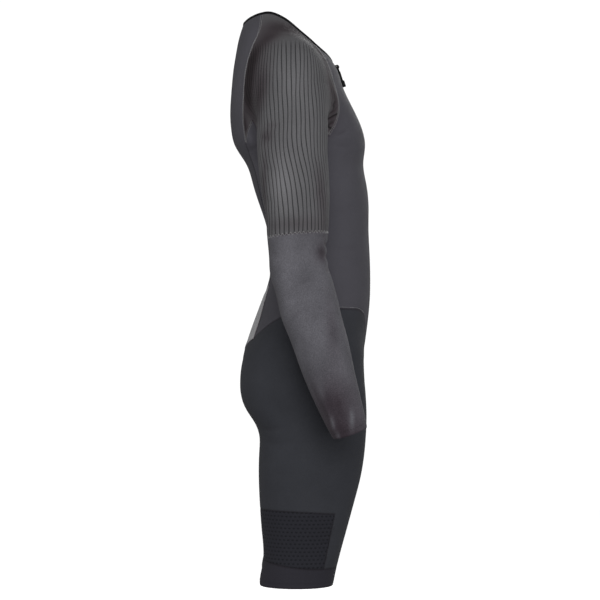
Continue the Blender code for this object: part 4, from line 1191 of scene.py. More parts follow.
CLOTH_FINISH = ("red", "green", "blue", "roughness", "sheen", "cloudy", "mottled", "speckle", "weave")
CLOTHS = {
    "body_cloth": (0.0645, 0.0625, 0.0730, 0.80, 0.03, 0.10, 0.12, 0.10, 0.25),
    "ribbed_cloth": (0.1010, 0.1000, 0.1050, 0.80, 0.03, 0.12, 0.12, 0.14, 0.25),
    "sleeve_cloth": (0.0935, 0.0915, 0.1030, 0.78, 0.03, 0.36, 0.26, 0.45, 0.25),
    "shorts_cloth": (0.0320, 0.0334, 0.0394, 0.72, 0.03, 0.16, 0.14, 0.08, 0.20),
    "dotted_cloth": (0.0200, 0.0203, 0.0255, 0.80, 0.03, 0.10, 0.10, 0.12, 0.20),
    "band_cloth": (0.0245, 0.0234, 0.0297, 0.76, 0.03, 0.10, 0.12, 0.10, 0.20),
    "pocket_cloth": (0.3200, 0.3200, 0.3300, 0.60, 0.08, 0.10, 0.10, 0.15, 0.20),
    "binding": (0.0060, 0.0060, 0.0070, 0.70, 0.02, 0.10, 0.00, 0.10, 0.30),
    "zip_tape": (0.0060, 0.0060, 0.0070, 0.75, 0.02, 0.10, 0.00, 0.10, 0.30),
    "grey_thread": (0.3000, 0.3000, 0.3050, 0.60, 0.05, 0.05, 0.00, 0.20, 0.10),
    "dark_thread": (0.0160, 0.0160, 0.0180, 0.60, 0.05, 0.05, 0.00, 0.20, 0.10),
}
MOTTLE_SCALE = 280.0
MOTTLE_STREAK = (1.0, 1.0, 3.6)  # short and wide marks
PAINTED_SHADE_WARMTH = (0.20, 0.12)  # where the tone is painted darker, a little more green and blue is lost than red
CLOUD_SCALE = 22.0
GRAIN_SCALE = 620.0
WALE_PITCH = 0.85 * MM
COURSE_PITCH = 0.6 * MM
HATCH_PITCH = 2.4 * MM
HATCH_SHADE = 0.3
HATCH_TURN = math.radians(45)
WAVE_PERIOD = 2 * math.pi / 20  # of Blender's wave texture at a scale of one
CLOUD_DETAIL = 4.0
GRAIN_ROUGHNESS = 0.06  # how far the grain changes the roughness either way
SHEEN_ROUGHNESS = 0.45
CLOTH_SPECULAR = 0.06
CLOTH_BUMP = 0.12 * MM
CLOTH_BUMP_STRENGTH = 0.6
METAL_COLOUR = (0.003, 0.003, 0.0034)
METAL_SCALE = 900.0
METAL_DETAIL = 3.0
METAL_WORN = (0.66, 6.0)  # above this noise it is worn, and how much paler it gets there
METAL_SOFTNESS = 0.1
METAL_ROUGHNESS = (0.4, 0.2)  # the least, and what the noise adds
METAL_SPECULAR = 0.05
METAL_BUMP = 0.05 * MM
METAL_BUMP_STRENGTH = 0.3


class Shading:
    """The nodes of one material, and its main shader."""

    def __init__(self, name):
        self.material = bpy.data.materials.new(name)
        self.material.use_nodes = True
        self.tree = self.material.node_tree
        self.shader = self.tree.nodes["Principled BSDF"]

    def feed(self, node, socket, value):
        """Sets a node's input, or links it where the value is another node's output."""
        if isinstance(value, bpy.types.NodeSocket):
            self.tree.links.new(value, node.inputs[socket])
        else:
            node.inputs[socket].default_value = value

    def add(self, kind, inputs, **settings):
        node = self.tree.nodes.new("ShaderNode" + kind)
        for setting, value in settings.items():
            setattr(node, setting, value)
        for socket, value in inputs.items():
            self.feed(node, socket, value)
        return node

    def sum(self, operation, *values):
        """What one Math node makes of some values."""
        return self.add("Math", dict(enumerate(values)), operation=operation).outputs[0]

    def noise(self, place, scale, detail=2.0):
        return self.add("TexNoise", {"Vector": place, "Scale": scale, "Detail": detail}).outputs["Fac"]

    def bands(self, place, pitch, direction):
        """Soft bands across a direction, a pitch in metres apart."""
        inputs = {"Vector": place, "Scale": WAVE_PERIOD / pitch}
        return self.add("TexWave", inputs, bands_direction=direction).outputs["Fac"]

    def varied(self, amount, value):
        """A factor round one that follows a value from 0 to 1."""
        return self.sum("MULTIPLY_ADD", value, 2 * amount, 1 - amount)

    def finish(self, inputs):
        """Sets or links the main shader's inputs, and returns the material."""
        for socket, value in inputs.items():
            self.feed(self.shader, socket, value)
        return self.material


def rib_painted_shade(shading):
    """Painted shade: a dark line in each groove between ribs."""
    phase = shading.add("Attribute", {}, attribute_name=RIB).outputs["Fac"]
    strength = shading.add("Attribute", {}, attribute_name=RIBBED).outputs["Fac"]
    gap = shading.sum("ABSOLUTE", shading.sum("SUBTRACT", phase, shading.sum("ROUND", phase)))
    fade = {"Value": gap, "From Max": 2 * RIB_LINE / RIB_PITCH, "To Min": 1.0, "To Max": 0.0}
    line = shading.add("MapRange", fade, interpolation_type="SMOOTHSTEP").outputs[0]
    return shading.sum("MULTIPLY_ADD", shading.sum("MULTIPLY", line, strength), -RIB_PAINTED_SHADE, 1.0)


def dot_painted_shade(shading, flat):
    """Painted shade: a dark oval in each dimple, in staggered rows."""
    parts = shading.add("SeparateXYZ", {0: flat}).outputs
    row = shading.sum("DIVIDE", parts[1], DOT_ROW)
    level = shading.sum("FLOOR", row)
    odd = shading.sum("FLOORED_MODULO", level, 2.0)
    across = shading.sum("MULTIPLY_ADD", odd, 0.5, shading.sum("DIVIDE", parts[0], DOT_PITCH))
    sizes = ((across, DOT_PITCH / DOT_HALF_WIDTH), (row, DOT_ROW / DOT_HALF_HEIGHT))
    offs = []
    for value, size in sizes:
        middle = shading.sum("SUBTRACT", shading.sum("FRACT", value), 0.5)
        offs.append(shading.sum("MULTIPLY", middle, size))
    off = shading.sum("SQRT", shading.sum("ADD", *(shading.sum("MULTIPLY", part, part) for part in offs)))
    fade = {"Value": off, "From Min": DOT_MARK[0], "From Max": DOT_MARK[1], "To Min": 1.0, "To Max": 0.0}
    mark = shading.add("MapRange", fade).outputs[0]
    return shading.sum("MULTIPLY_ADD", mark, -DOT_PAINTED_SHADE, 1.0)


def pattern_and_painted_shade(shading, name, flat):
    """What one cloth's pattern does to its tone: the pocket's hatch, and the painted shade in the ribs'
    grooves and the dimples. None for the others.
    """
    if name == "pocket_cloth":
        turned = shading.add("Mapping", {"Vector": flat, "Rotation": (0, 0, HATCH_TURN)}).outputs[0]
        return shading.varied(HATCH_SHADE, shading.bands(turned, HATCH_PITCH, "X"))
    if name == "ribbed_cloth":
        return rib_painted_shade(shading)
    if name == "dotted_cloth":
        return dot_painted_shade(shading, flat)
    return None


def cloth_colour(shading, row, tone, painted_tone):
    """A cloth's colour at some tone. Where the painted tone is darker, the painted shade is a little warmer.
    """
    lack = shading.sum("MINIMUM", painted_tone, 1.0)
    tint = [row["red"]]
    for warmth, part in zip(PAINTED_SHADE_WARMTH, ("green", "blue")):
        tint.append(shading.sum("MULTIPLY", shading.sum("POWER", lack, warmth), row[part]))
    mixed = shading.add("CombineXYZ", dict(enumerate(tint))).outputs[0]
    return shading.add("VectorMath", {0: mixed, "Scale": tone}, operation="SCALE").outputs[0]


def cloth_material(name):
    """Knitted cloth: its grain, mottling and soft clouds, and the tone that its mesh carries, which holds the
    painted light and shade.
    """
    row = dict(zip(CLOTH_FINISH, CLOTHS[name]))
    shading = Shading(name)
    flat = shading.add("UVMap", {}, uv_map=CLOTH_UV).outputs["UV"]
    place = shading.add("TexCoord", {}).outputs["Object"]
    cloudy = shading.noise(place, CLOUD_SCALE, CLOUD_DETAIL)
    grain = shading.noise(place, GRAIN_SCALE)
    streaks = shading.add("Mapping", {"Vector": place, "Scale": MOTTLE_STREAK}).outputs[0]
    mottle = shading.noise(streaks, MOTTLE_SCALE)
    wales = shading.bands(flat, WALE_PITCH, "X")
    courses = shading.bands(flat, COURSE_PITCH, "Y")
    knit = shading.sum("MULTIPLY", wales, courses)
    painted_tone = shading.add("Attribute", {}, attribute_name=TONE).outputs["Fac"]
    tone = painted_tone
    looks = {"cloudy": cloudy, "mottled": mottle, "speckle": grain, "weave": knit}
    for look, value in looks.items():
        tone = shading.sum("MULTIPLY", tone, shading.varied(row[look], value))
    pattern = pattern_and_painted_shade(shading, name, flat)
    if pattern is not None:
        tone = shading.sum("MULTIPLY", tone, pattern)
    colour = cloth_colour(shading, row, tone, painted_tone)
    height = shading.sum("ADD", knit, grain)
    relief = {"Strength": CLOTH_BUMP_STRENGTH, "Distance": CLOTH_BUMP, "Height": height}
    bump = shading.add("Bump", relief).outputs[0]
    least = row["roughness"] - GRAIN_ROUGHNESS
    return shading.finish(
        {
            "Base Color": colour,
            "Roughness": shading.sum("MULTIPLY_ADD", grain, 2 * GRAIN_ROUGHNESS, least),
            "Sheen Weight": row["sheen"],
            "Sheen Roughness": SHEEN_ROUGHNESS,
            "Specular IOR Level": CLOTH_SPECULAR,
            "Normal": bump,
        }
    )


def metal_material():
    """Black enamel, a little uneven, worn to grey in small spots."""
    shading = Shading("zip_metal")
    place = shading.add("TexCoord", {}).outputs["Object"]
    uneven = shading.noise(place, METAL_SCALE, METAL_DETAIL)
    worn_from, worn_gain = METAL_WORN
    above = shading.sum("MAXIMUM", shading.sum("SUBTRACT", uneven, worn_from), 0.0)
    worn = shading.sum("SMOOTH_MIN", 1.0, above, METAL_SOFTNESS)
    paler = shading.sum("MULTIPLY_ADD", worn, worn_gain, 1.0)
    colour = shading.add("VectorMath", {0: METAL_COLOUR, "Scale": paler}, operation="SCALE").outputs[0]
    relief = {"Strength": METAL_BUMP_STRENGTH, "Distance": METAL_BUMP, "Height": uneven}
    bump = shading.add("Bump", relief).outputs[0]
    least, added = METAL_ROUGHNESS
    return shading.finish(
        {
            "Base Color": colour,
            "Roughness": shading.sum("MULTIPLY_ADD", uneven, added, least),
            "Specular IOR Level": METAL_SPECULAR,
            "Normal": bump,
        }
    )


# ---------------------------------------------------------------------------------------------
# Threads, binding and zip.

STITCH_RADIUS = 0.28 * MM
RAGLAN_RADIUS = 0.36 * MM
STITCH_PITCH = 3.0 * MM
STITCH_LENGTH = 2.2 * MM
STITCH_LIFT = 0.2 * STITCH_RADIUS
# How far a row of stitches is from its seam or edge.
TWIN_ROWS = (-1.3 * MM, 1.3 * MM)
# the next row is grey stitching that stands in for a painted highlight along the waist seam
WAIST_HIGHLIGHT_ROW = -2.6 * MM
ZIP_ROW = -5 * MM
CUFF_ROW = -9 * MM
CENTRE_ROW = 2 * MM
WAIST_HIGHLIGHT_ROW_COLUMNS = 5
ELBOW_HALF_WIDTH = 2.3 * MM
ELBOW_PITCH = 7.0 * MM
CAPSULE_ENDS = ((0.0, 0.0), (0.14, 0.85), (0.86, 0.85), (1.0, 0.0))  # along, and share of the radius
CAPSULE_SIDES = 4

BINDING_DEPTH = WALL + 2 * BINDING_PROUD
BINDING_STANDS = 4.2 * MM
BINDING_LAP = 1.4 * MM  # over the panels' edges
BINDING_UPRIGHT = 2.0  # how strongly it turns upright

TEETH_TOP = -75.5 * MM
TEETH_LIFT = -1.3 * MM
TOOTH_PITCH = 1.5 * MM
TOOTH_RADIUS = 0.42 * MM
TOOTH_OVER = 0.7 * MM
TOOTH_REACH = 2.9 * MM
LEVEL_STEP = 5 * MM

# Sections of the binding, a soft block and a bar: how many sides, and a power. 1 is an ellipse and
# less is squarer.
BINDING_OUTLINE = (14, 0.55)
BLOCK_OUTLINE = (20, 0.3)
BAR_OUTLINE = (10, 0.6)

# Finished slider and pull, in millimetres. A run is from and to along the zip, and a lift is how
# far out the foot and the top are.
ACROSS = (1, 0, 0)
OUTWARD = (0, 0, 1)
BLOCK_RINGS = 7  # in each rounded end
BLOCK_SOFTNESS = 0.35  # of its half depth
BLOCK_SOFTEST = 0.4
BAR_POINTS = 6
CROWN_BAR = 1.4  # half thickness
CROWN_INSET = 0.4
CROWN_FOOT = 1.2
CROWN_ROUND = 0.6  # a power, as above
CROWN_POINTS = 15
RAIL_OUT = 3.5
RAIL_SINK = 0.1
RAIL_RUN = (-2.4, 4.4)
RAIL_SIZE = (0.35, 0.3)  # half width and half depth
WIRE = 0.5  # half thickness of the pull's loop
LOOP_CORNER = 1.2
LOOP_STEPS = 5
CHEEK_RUN = (-9.2, -1.0)
CHEEK_LIFT = -0.3
CHEEK_SIZE = (0.5, 1.9)
OVERLAP = 1.5  # of one block of the pull on the next
STEM_LIFT = (-2.6, 2.4)
GRIP_LIFT = (-1.8, 4.2)
BOSS_RADIUS = 1.4  # of the round ends of the pull's crossbar
BOSS_SIDES = 16
BOSS_RINGS = ((1.9, 0.85), (2.05, 1.0), (2.95, 1.0), (3.1, 0.85))  # across, and share of the radius
RIDGES = (-29.5, -31.5, -33.5)  # along the grip
RIDGE_OUT = 0.05
RIDGE_LIFT = 0.15


def capsules(starts, ends, outward, radius):
    """Short rounded rods from starts to ends, as points and quads."""
    along = ends - starts
    side = unit(np.cross(outward, along))
    up = unit(np.cross(along, side))
    turns = np.arange(CAPSULE_SIDES) * 2 * math.pi / CAPSULE_SIDES
    rings = []
    for run, share in CAPSULE_ENDS:
        for turn in turns:
            spoke = math.cos(turn) * side + math.sin(turn) * up
            rings.append(starts + run * along + share * radius * spoke)
    points = np.stack(rings, axis=1)
    own = len(CAPSULE_ENDS) * CAPSULE_SIDES
    quads = []
    for ring in range(len(CAPSULE_ENDS) - 1):
        for i in range(CAPSULE_SIDES):
            a, b = ring * CAPSULE_SIDES + i, ring * CAPSULE_SIDES + (i + 1) % CAPSULE_SIDES
            quads.append((a, b, b + CAPSULE_SIDES, a + CAPSULE_SIDES))
    quads = np.array(quads)[None] + own * np.arange(len(starts))[:, None, None]
    return points.reshape(-1, 3), quads.reshape(-1, 4)


class SeamLine:
    """A seam as a smooth line on the figure, measured along its length."""

    def __init__(self, coarse, breaks=None, side=1):
        last = len(coarse) - 1
        smooth = spread(last + 1, cuts(0, last, DENSE), breaks or (0, last)) @ coarse
        self.points, self.outward = (part * (side, 1, 1) for part in laid_on(smooth))
        self.run = lengths_along(self.points, 0)
        self.across = side * unit(np.cross(self.outward, np.gradient(self.points, axis=0)))
        self.length = self.run[-1]

    def at(self, run, offset):
        """Points on the cloth at lengths along the line, and their outward directions."""
        middle, across = (looked_up(run, self.run, values) for values in (self.points, self.across))
        points, outward = laid_on(middle + offset[:, None] * across)
        lift = fold_lift(points) + seam_dip(offset) + STITCH_LIFT
        return points + lift[:, None] * outward, outward

    def running(self, offset):
        """A row of stitches along the seam, offset to its side."""
        run = np.arange(STITCH_PITCH / 2, self.length - STITCH_PITCH, STITCH_PITCH)
        starts, outward = self.at(run, np.full_like(run, offset))
        ends, _ = self.at(run + STITCH_LENGTH, np.full_like(run, offset))
        return starts, ends, outward

    def zigzag(self, half_width, pitch):
        """A row of stitches from side to side of the seam."""
        run = np.arange(pitch / 4, self.length, pitch / 2)
        offset = half_width * np.where(np.arange(len(run)) % 2, -1.0, 1.0)
        corners, outward = self.at(run, offset)
        return corners[:-1], corners[1:], outward[:-1]


def gathered(parts):
    """Several lots of points and quads as one."""
    points, quads, count = [], [], 0
    for own_points, own_quads in parts:
        points.append(own_points)
        quads.append(own_quads + count)
        count += len(own_points)
    return np.concatenate(points), np.concatenate(quads)


def stitched(name, rows, finish, radius=STITCH_RADIUS):
    """One object of all the stitches in some rows."""
    points, quads = gathered([capsules(*row, radius) for row in rows])
    made = make_mesh(name, points, quads, simple_uv(points, quads) * (1, -1), finish)
    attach(made, "suit")


def tube(rings, looped=False):
    """The skin of rings of points, as points and quads, its ends closed."""
    count, sides = rings.shape[:2]
    numbers = np.arange(count * sides).reshape(count, sides)
    following = np.roll(numbers, -1, axis=1)
    upper, lower = numbers, np.roll(numbers, -1, axis=0)
    ahead = np.roll(following, -1, axis=0)
    stop = count if looped else count - 1
    quads = np.stack([upper, lower, ahead, following], axis=-1)[:stop].reshape(-1, 4)
    points = rings.reshape(-1, 3)
    if looped:
        return points, quads
    caps = []
    for end, order in ((0, 1), (-1, -1)):
        centre = np.full(sides, len(points))
        points = np.concatenate([points, rings[end].mean(axis=0, keepdims=True)])
        first, second = (numbers[end], following[end])[::order]
        caps.append(np.stack([centre, first, second, second], axis=-1))
    return points, np.concatenate([quads] + caps)


def rounded_profile(half_width, half_height, sides, power):
    """A rectangle with soft corners, as (across, up) points."""
    turns = (np.arange(sides) + 0.5) * 2 * math.pi / sides
    soft = [np.sign(part(turns)) * np.abs(part(turns)) ** power for part in (np.cos, np.sin)]
    return np.stack([half_width * soft[0], half_height * soft[1]], axis=-1)


def swept_rings(path, profile, across, up):
    """A section's points at each point of a path."""
    return path[:, None] + profile[None, :, :1] * across[:, None] + profile[None, :, 1:] * up[:, None]


def simple_uv(points, quads):
    """Cloth coordinates of small parts, from their places."""
    corners = points[quads]
    return np.stack([corners[..., 0] + corners[..., 1], corners[..., 2]], axis=-1)


def make_binding(neckline):
    """A folded strip that stands on the neckline all round, open at the zip."""
    last = len(neckline) - 1
    breaks = (0, FRONT_COLUMNS, FRONT_COLUMNS + SLEEVE_COLUMNS, last)
    path, outward = laid_on(spread(last + 1, cuts(0, last, BINDING_PARTS), breaks) @ neckline)
    tangents = unit(np.gradient(path, axis=0))
    tangents[-1] = ACROSS
    upward = unit(np.cross(tangents, outward))
    upward *= np.sign(upward[:, 2:])
    path, upward = (np.concatenate([part, part[-2::-1] * (-1, 1, 1)]) for part in (path, upward))
    upward = unit(upward + BINDING_UPRIGHT * np.array(UP))
    outward = unit(np.cross(unit(np.gradient(path, axis=0)), upward))
    level = outward * (path - path.mean(axis=0)) * (1, 1, 0)
    outward *= np.sign(np.sum(level, axis=1, keepdims=True))
    half_height = (BINDING_STANDS + BINDING_LAP) / 2
    half_depth = BINDING_DEPTH / 2
    middle = path + (half_height - BINDING_LAP) * upward + (BINDING_PROUD - half_depth) * outward
    profile = rounded_profile(half_height, half_depth, *BINDING_OUTLINE)
    points, quads = tube(swept_rings(middle, profile, upward, outward))
    made = make_mesh("neck_edge", points, quads, simple_uv(points, quads), "binding")
    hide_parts("neck_binding")
    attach(made, "suit")


def make_tapes(grids):
    """Tape under the edge of each front, along the zip."""
    lower = grids["front_lower"][: ZIP_ROWS + 1, : FRONT_COLUMNS + 1]
    column = stacked(grids["front_upper"], lower)[:, :2]
    across = column[:, 1] - column[:, 0]
    tape = np.stack([column[:, 0] + share * across for share in ZIP_TAPE_EDGES], axis=1)
    tape[..., 0] = np.minimum(tape[..., 0], 0)
    right = Panel(Patch(tape, cuts(0, len(tape) - 1, TAPE_PARTS), cuts(0, 1, TAPE_PARTS)))
    for word, panel in (("right", right), ("left", right.mirrored())):
        lift = -WALL - SEAM_GAP
        made = make_shell("tape_" + word, panel, "zip_tape", lift=lift, thickness=TRIM_CLOTH)
        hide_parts("zip_tape_" + word)
        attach(made, "suit")


def centre_line(heights):
    """Points down the middle of the front, and the frames there: across, along, outward."""
    out = np.zeros_like(heights)
    low, middle, high = (level_cast(heights + step, out, -1) for step in (-LEVEL_STEP, 0, LEVEL_STEP))
    across = np.broadcast_to(np.array(ACROSS, float), middle.shape)
    along = unit(high - low)
    return middle, across, along, np.cross(across, along)


def make_teeth():
    """The zip's coil: two rows of short rods that reach past each other."""
    rows = []
    for side in (-1, 1):
        heights = np.arange(STOP_HEIGHT + TOOTH_PITCH * (1 + side) / 4, TEETH_TOP, TOOTH_PITCH)
        middle, across, _, outward = centre_line(heights)
        middle = middle + TEETH_LIFT * outward
        rows.append((middle - side * TOOTH_OVER * across, middle + side * TOOTH_REACH * across, outward))
    stitched("zip_teeth", rows, "zip_tape", radius=TOOTH_RADIUS)


def zip_frame(height):
    """A point on the middle of the front, and its axes as columns."""
    middle, across, along, outward = (part[0] for part in centre_line(np.array([height])))
    return middle, np.stack([across, along, outward], axis=-1)


def frame_along(direction):
    """Axes across, along a direction and out, as columns."""
    across = np.array(ACROSS, float)
    along = unit(direction)
    return np.stack([across, along, np.cross(across, along)], axis=-1)


def soft_block(block):
    """A block with rounded edges, in millimetres across, along and out."""
    row = dict(zip(BLOCK, block))
    middle = (row["lift_from"] + row["lift_to"]) / 2
    half_depth = (row["lift_to"] - row["lift_from"]) / 2
    soft = min(BLOCK_SOFTNESS * half_depth, BLOCK_SOFTEST)
    turns = np.linspace(0, math.pi / 2, BLOCK_RINGS)
    inset = soft * (1 - np.sin(turns))
    step = soft * (1 - np.cos(turns))
    insets = np.concatenate([inset, inset[::-1]])
    runs = np.concatenate([row["along_from"] + step, row["along_to"] - step[::-1]])
    rings = []
    for run, own in zip(runs, insets):
        outline = rounded_profile(row["half_width"] - own, half_depth - own, *BLOCK_OUTLINE)
        rings.append(np.stack([outline[:, 0], np.full(len(outline), run), middle + outline[:, 1]], axis=-1))
    return tube(np.array(rings)[:, ::-1])


def bent_bar(path, half_width, half_depth, across, looped=False):
    """A bar of soft section along a path of (across, along, out) points in millimetres."""
    path = np.array(path, float)
    if looped:
        tangents = np.roll(path, -1, axis=0) - np.roll(path, 1, axis=0)
    else:
        tangents = np.gradient(path, axis=0)
    across = np.broadcast_to(np.array(across, float), path.shape)
    up = unit(np.cross(unit(tangents), across))
    profile = rounded_profile(half_width, half_depth, *BAR_OUTLINE)
    return tube(swept_rings(path, profile, across, up), looped)


def twin_bars(out, run, lift, size):
    """Two straight bars along the zip, one on each side of it."""
    bars = []
    for side in (-1, 1):
        path = [(side * out, along, lift) for along in np.linspace(*run, BAR_POINTS)]
        bars.append(bent_bar(path, *size, ACROSS))
    return bars


def metal_piece(name, parts, place, axes, node, body):
    """One black metal object of several parts given in the zip's own millimetres."""
    points, quads = gathered([(place + MM * own @ axes.T, quads) for own, quads in parts])
    made = make_mesh(name, points, quads, simple_uv(points, quads), "zip_metal")
    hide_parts(node)
    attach(made, body)


def loop_path(half_width, low, high):
    """A rectangle with round corners, in the pull's plane."""
    corners = ((half_width, high), (-half_width, high), (-half_width, low), (half_width, low))
    path = []
    for turn, (x, y) in enumerate(corners):
        middle_x = x - math.copysign(LOOP_CORNER, x)
        middle_y = y - (LOOP_CORNER if y == high else -LOOP_CORNER)
        for angle in np.linspace(turn, turn + 1, LOOP_STEPS) * math.pi / 2:
            across, along = LOOP_CORNER * math.cos(angle), LOOP_CORNER * math.sin(angle)
            path.append((middle_x + across, middle_y + along, 0.0))
    return path


def round_boss(side):
    """A short round end of the pull's crossbar, in millimetres."""
    turns = np.arange(BOSS_SIDES) * side * 2 * math.pi / BOSS_SIDES
    rings = []
    for across, share in BOSS_RINGS:
        radius = share * BOSS_RADIUS
        rings.append([(side * across, radius * math.cos(turn), radius * math.sin(turn)) for turn in turns])
    return tube(np.array(rings))


def crown_arch(crown):
    """The middle line of the slider's crown."""
    middle = (crown["along_to"] + crown["along_from"]) / 2
    reach = (crown["along_to"] - crown["along_from"]) / 2 - CROWN_INSET
    height = crown["lift_to"] - CROWN_INSET - CROWN_FOOT
    path = []
    for turn in np.linspace(math.pi, 0, CROWN_POINTS):
        along = math.copysign(abs(math.cos(turn)) ** CROWN_ROUND, math.cos(turn))
        path.append((0, middle + reach * along, CROWN_FOOT + height * abs(math.sin(turn)) ** CROWN_ROUND))
    return path


def slider_parts():
    """The slider's neck and plate, the crown that holds the pull, and two rails."""
    _, plate, crown = (dict(zip(BLOCK, block)) for block in SLIDER_BLOCKS)
    body = [soft_block(block) for block in SLIDER_BLOCKS[:2]]
    arch = bent_bar(crown_arch(crown), crown["half_width"], CROWN_BAR, ACROSS)
    return body + [arch] + twin_bars(RAIL_OUT, RAIL_RUN, plate["lift_to"] - RAIL_SINK, RAIL_SIZE)


def pull_parts():
    """The pull's loop with its cheeks and round ends, its stem, and its grip with ridges."""
    bow, stem, grip = (dict(zip(BLOCK, block)) for block in PULL_BLOCKS)
    loop = loop_path(bow["half_width"] - WIRE, bow["along_from"] + WIRE, 0.0)
    blocks = [
        (bow["half_width"], bow["along_from"] - WIRE, bow["along_from"] + OVERLAP, *STEM_LIFT),
        (stem["half_width"], stem["along_from"] - WIRE, stem["along_to"] + WIRE, *STEM_LIFT),
        (grip["half_width"], grip["along_from"], grip["along_to"] + OVERLAP, *GRIP_LIFT),
    ]
    foot, top = GRIP_LIFT[0] - RIDGE_LIFT, GRIP_LIFT[1] + RIDGE_LIFT
    ridges = [(grip["half_width"] + RIDGE_OUT, along - WIRE, along + WIRE, foot, top) for along in RIDGES]
    parts = [bent_bar(loop, WIRE, WIRE, OUTWARD, looped=True)]
    parts += [soft_block(block) for block in blocks]
    parts += twin_bars(bow["half_width"] - WIRE, CHEEK_RUN, CHEEK_LIFT, CHEEK_SIZE)
    parts += [round_boss(side) for side in (1, -1)]
    return parts + [soft_block(block) for block in ridges]


def make_zip_metal():
    """The slider, the pull on its hinge, and the stop."""
    seat, axes = zip_frame(SLIDER_HEIGHT)
    metal_piece("slider", slider_parts(), seat, axes, "zip_slider", "suit")

    hinge = seat + HINGE_LIFT * axes[:, 2]
    below, chest = zip_frame(hinge[2] - PULL_REST)
    grip = dict(zip(BLOCK, PULL_BLOCKS[-1]))
    resting = below + (grip["lift_to"] * MM + PULL_CLEARANCE) * chest[:, 2]
    metal_piece("pull", pull_parts(), hinge, frame_along(hinge - resting), "zip_pull", "zip_pull")

    stop, stop_axes = zip_frame(STOP_HEIGHT)
    metal_piece("stop", [soft_block(block) for block in STOP_BLOCKS], stop, stop_axes, "zip_stop", "suit")


# ---------------------------------------------------------------------------------------------
# The suit.

# Rows of the back's, the sleeve's and the leg's grids, and columns of the leg's.
TAIL_FOOT_ROW = BACK_RAGLAN_ROWS + TAIL_ROWS
WAIST_BACK_ROW = TAIL_FOOT_ROW + ZIP_ROWS + TONGUE_ROWS
ARM_ROW = FRONT_RAGLAN_ROWS + UNDERARM_COLUMNS
ELBOW_ROW = ARM_ROW + UPPER_SLEEVE_ROWS
WRIST_ROW = ELBOW_ROW + LOWER_SLEEVE_ROWS
THIGH_ROW = SEAT_ROWS + CROTCH_ROWS
PANEL_TOP_ROW = THIGH_ROW + THIGH_ROWS
PANEL_FOOT_ROW = PANEL_TOP_ROW + LEG_PANEL_ROWS
HEM_ROW = PANEL_FOOT_ROW + LEG_BAND_ROWS
LEG_COLUMNS = FRONT_LOWER_COLUMNS + BACK_COLUMNS
WAIST_BREAKS = (0, TONGUE_COLUMNS, FRONT_LOWER_COLUMNS, LEG_COLUMNS)
ZIP_BREAKS = (0, ZIP_ROWS - 1, ZIP_ROWS, ZIP_ROWS + TONGUE_ROWS)

# Each piece of cloth: its finish, and the width and length of its cut in metres.
CUTS = {
    "front": ("body_cloth", (0.340, 0.510)),
    "sleeve_upper": ("ribbed_cloth", (0.350, 0.390)),
    "sleeve_lower": ("sleeve_cloth", (0.280, 0.330)),
    "shorts": ("shorts_cloth", (0.490, 0.430)),
    "leg_panel": ("dotted_cloth", (0.250, 0.095)),
    "leg_band": ("band_cloth", (0.345, 0.042)),
    "back": ("body_cloth", (0.260, 0.570)),
    "back_pocket": ("pocket_cloth", (0.210, 0.120)),
}
MIDDLE_PIECES = ("back", "back_pocket")  # these go across the middle, and the others have two sides
RELIEFS = {"sleeve_upper": ribs, "leg_panel": dots}


def front_panel(grids):
    """The front, whose lower part wraps under the arm and ends in a small lobe behind it."""
    lower = grids["front_lower"]
    rows, columns = ZIP_ROWS + TONGUE_ROWS, FRONT_LOWER_COLUMNS
    underarm = FRONT_COLUMNS + UNDERARM_COLUMNS
    breaks = {
        "top": (0, FRONT_COLUMNS, underarm, columns - 1, columns),
        "foot": (0, TONGUE_COLUMNS, columns),
        "start": ZIP_BREAKS,
    }
    upper_down = cuts(0, FRONT_RAGLAN_ROWS, FRONT_PARTS, (0,))
    upper_across = cuts(0, FRONT_COLUMNS, FRONT_PARTS, (0, FRONT_COLUMNS))
    lower_down = cuts(0, rows, FRONT_PARTS, (0, rows))
    lower_across = cuts(0, columns, FRONT_PARTS, (0, FRONT_COLUMNS, columns - 1, columns))
    lobe_down = cuts(0, ARCH_ROWS, LOBE_PARTS, (0,))
    return Panel(
        Patch(grids["front_upper"], upper_down, upper_across),
        Patch(lower, lower_down, lower_across, breaks),
        Patch(grids["lobe"], lobe_down, cuts(0, 1, FRONT_PARTS, (0, 1))),
    )


def back_panels(back):
    """The back, and the pocket on its last rows."""
    last = WAIST_BACK_ROW
    rows = (0, BACK_RAGLAN_ROWS, TAIL_FOOT_ROW, last)
    breaks = {"start": rows, "end": rows}
    across = cuts(0, BACK_COLUMNS, BACK_PARTS, (0,))
    made = {}
    for name, first in (("back", 0), ("back_pocket", last - POCKET_ROWS)):
        down = cuts(first, last, BACK_PARTS, (first, last))
        made[name] = Panel(Patch(back, down, across, breaks), sides=(1, -1))
    return made


def sleeve_panels(grids):
    """The ribbed upper sleeve with its tail, and the lower sleeve."""
    sleeve = grids["sleeve"]
    neck_row, arch_row = FRONT_RAGLAN_ROWS, FRONT_RAGLAN_ROWS + ARCH_ROWS
    breaks = {
        "start": (0, neck_row, ARM_ROW, ELBOW_ROW, WRIST_ROW),
        "end": (0, BACK_RAGLAN_ROWS, neck_row, arch_row, ARM_ROW, ELBOW_ROW, WRIST_ROW),
    }
    upper_down = cuts(0, ELBOW_ROW, SLEEVE_PARTS, (0, ELBOW_ROW, BACK_RAGLAN_ROWS, neck_row))
    tail_down = cuts(0, TAIL_ROWS, TAIL_PARTS[0], (0,))
    upper = Panel(
        Patch(sleeve, upper_down, cuts(0, SLEEVE_COLUMNS, RIB_PARTS), breaks),
        Patch(grids["tail"], tail_down, cuts(0, 1, TAIL_PARTS[1], (0, 1))),
    )
    lower_down = cuts(ELBOW_ROW, WRIST_ROW, FOREARM_PARTS, (ELBOW_ROW, WRIST_ROW))
    lower_across = cuts(0, SLEEVE_COLUMNS, FOREARM_PARTS, (0, SLEEVE_COLUMNS))
    lower = Panel(Patch(sleeve, lower_down, lower_across, breaks))
    return {"sleeve_upper": upper, "sleeve_lower": lower}


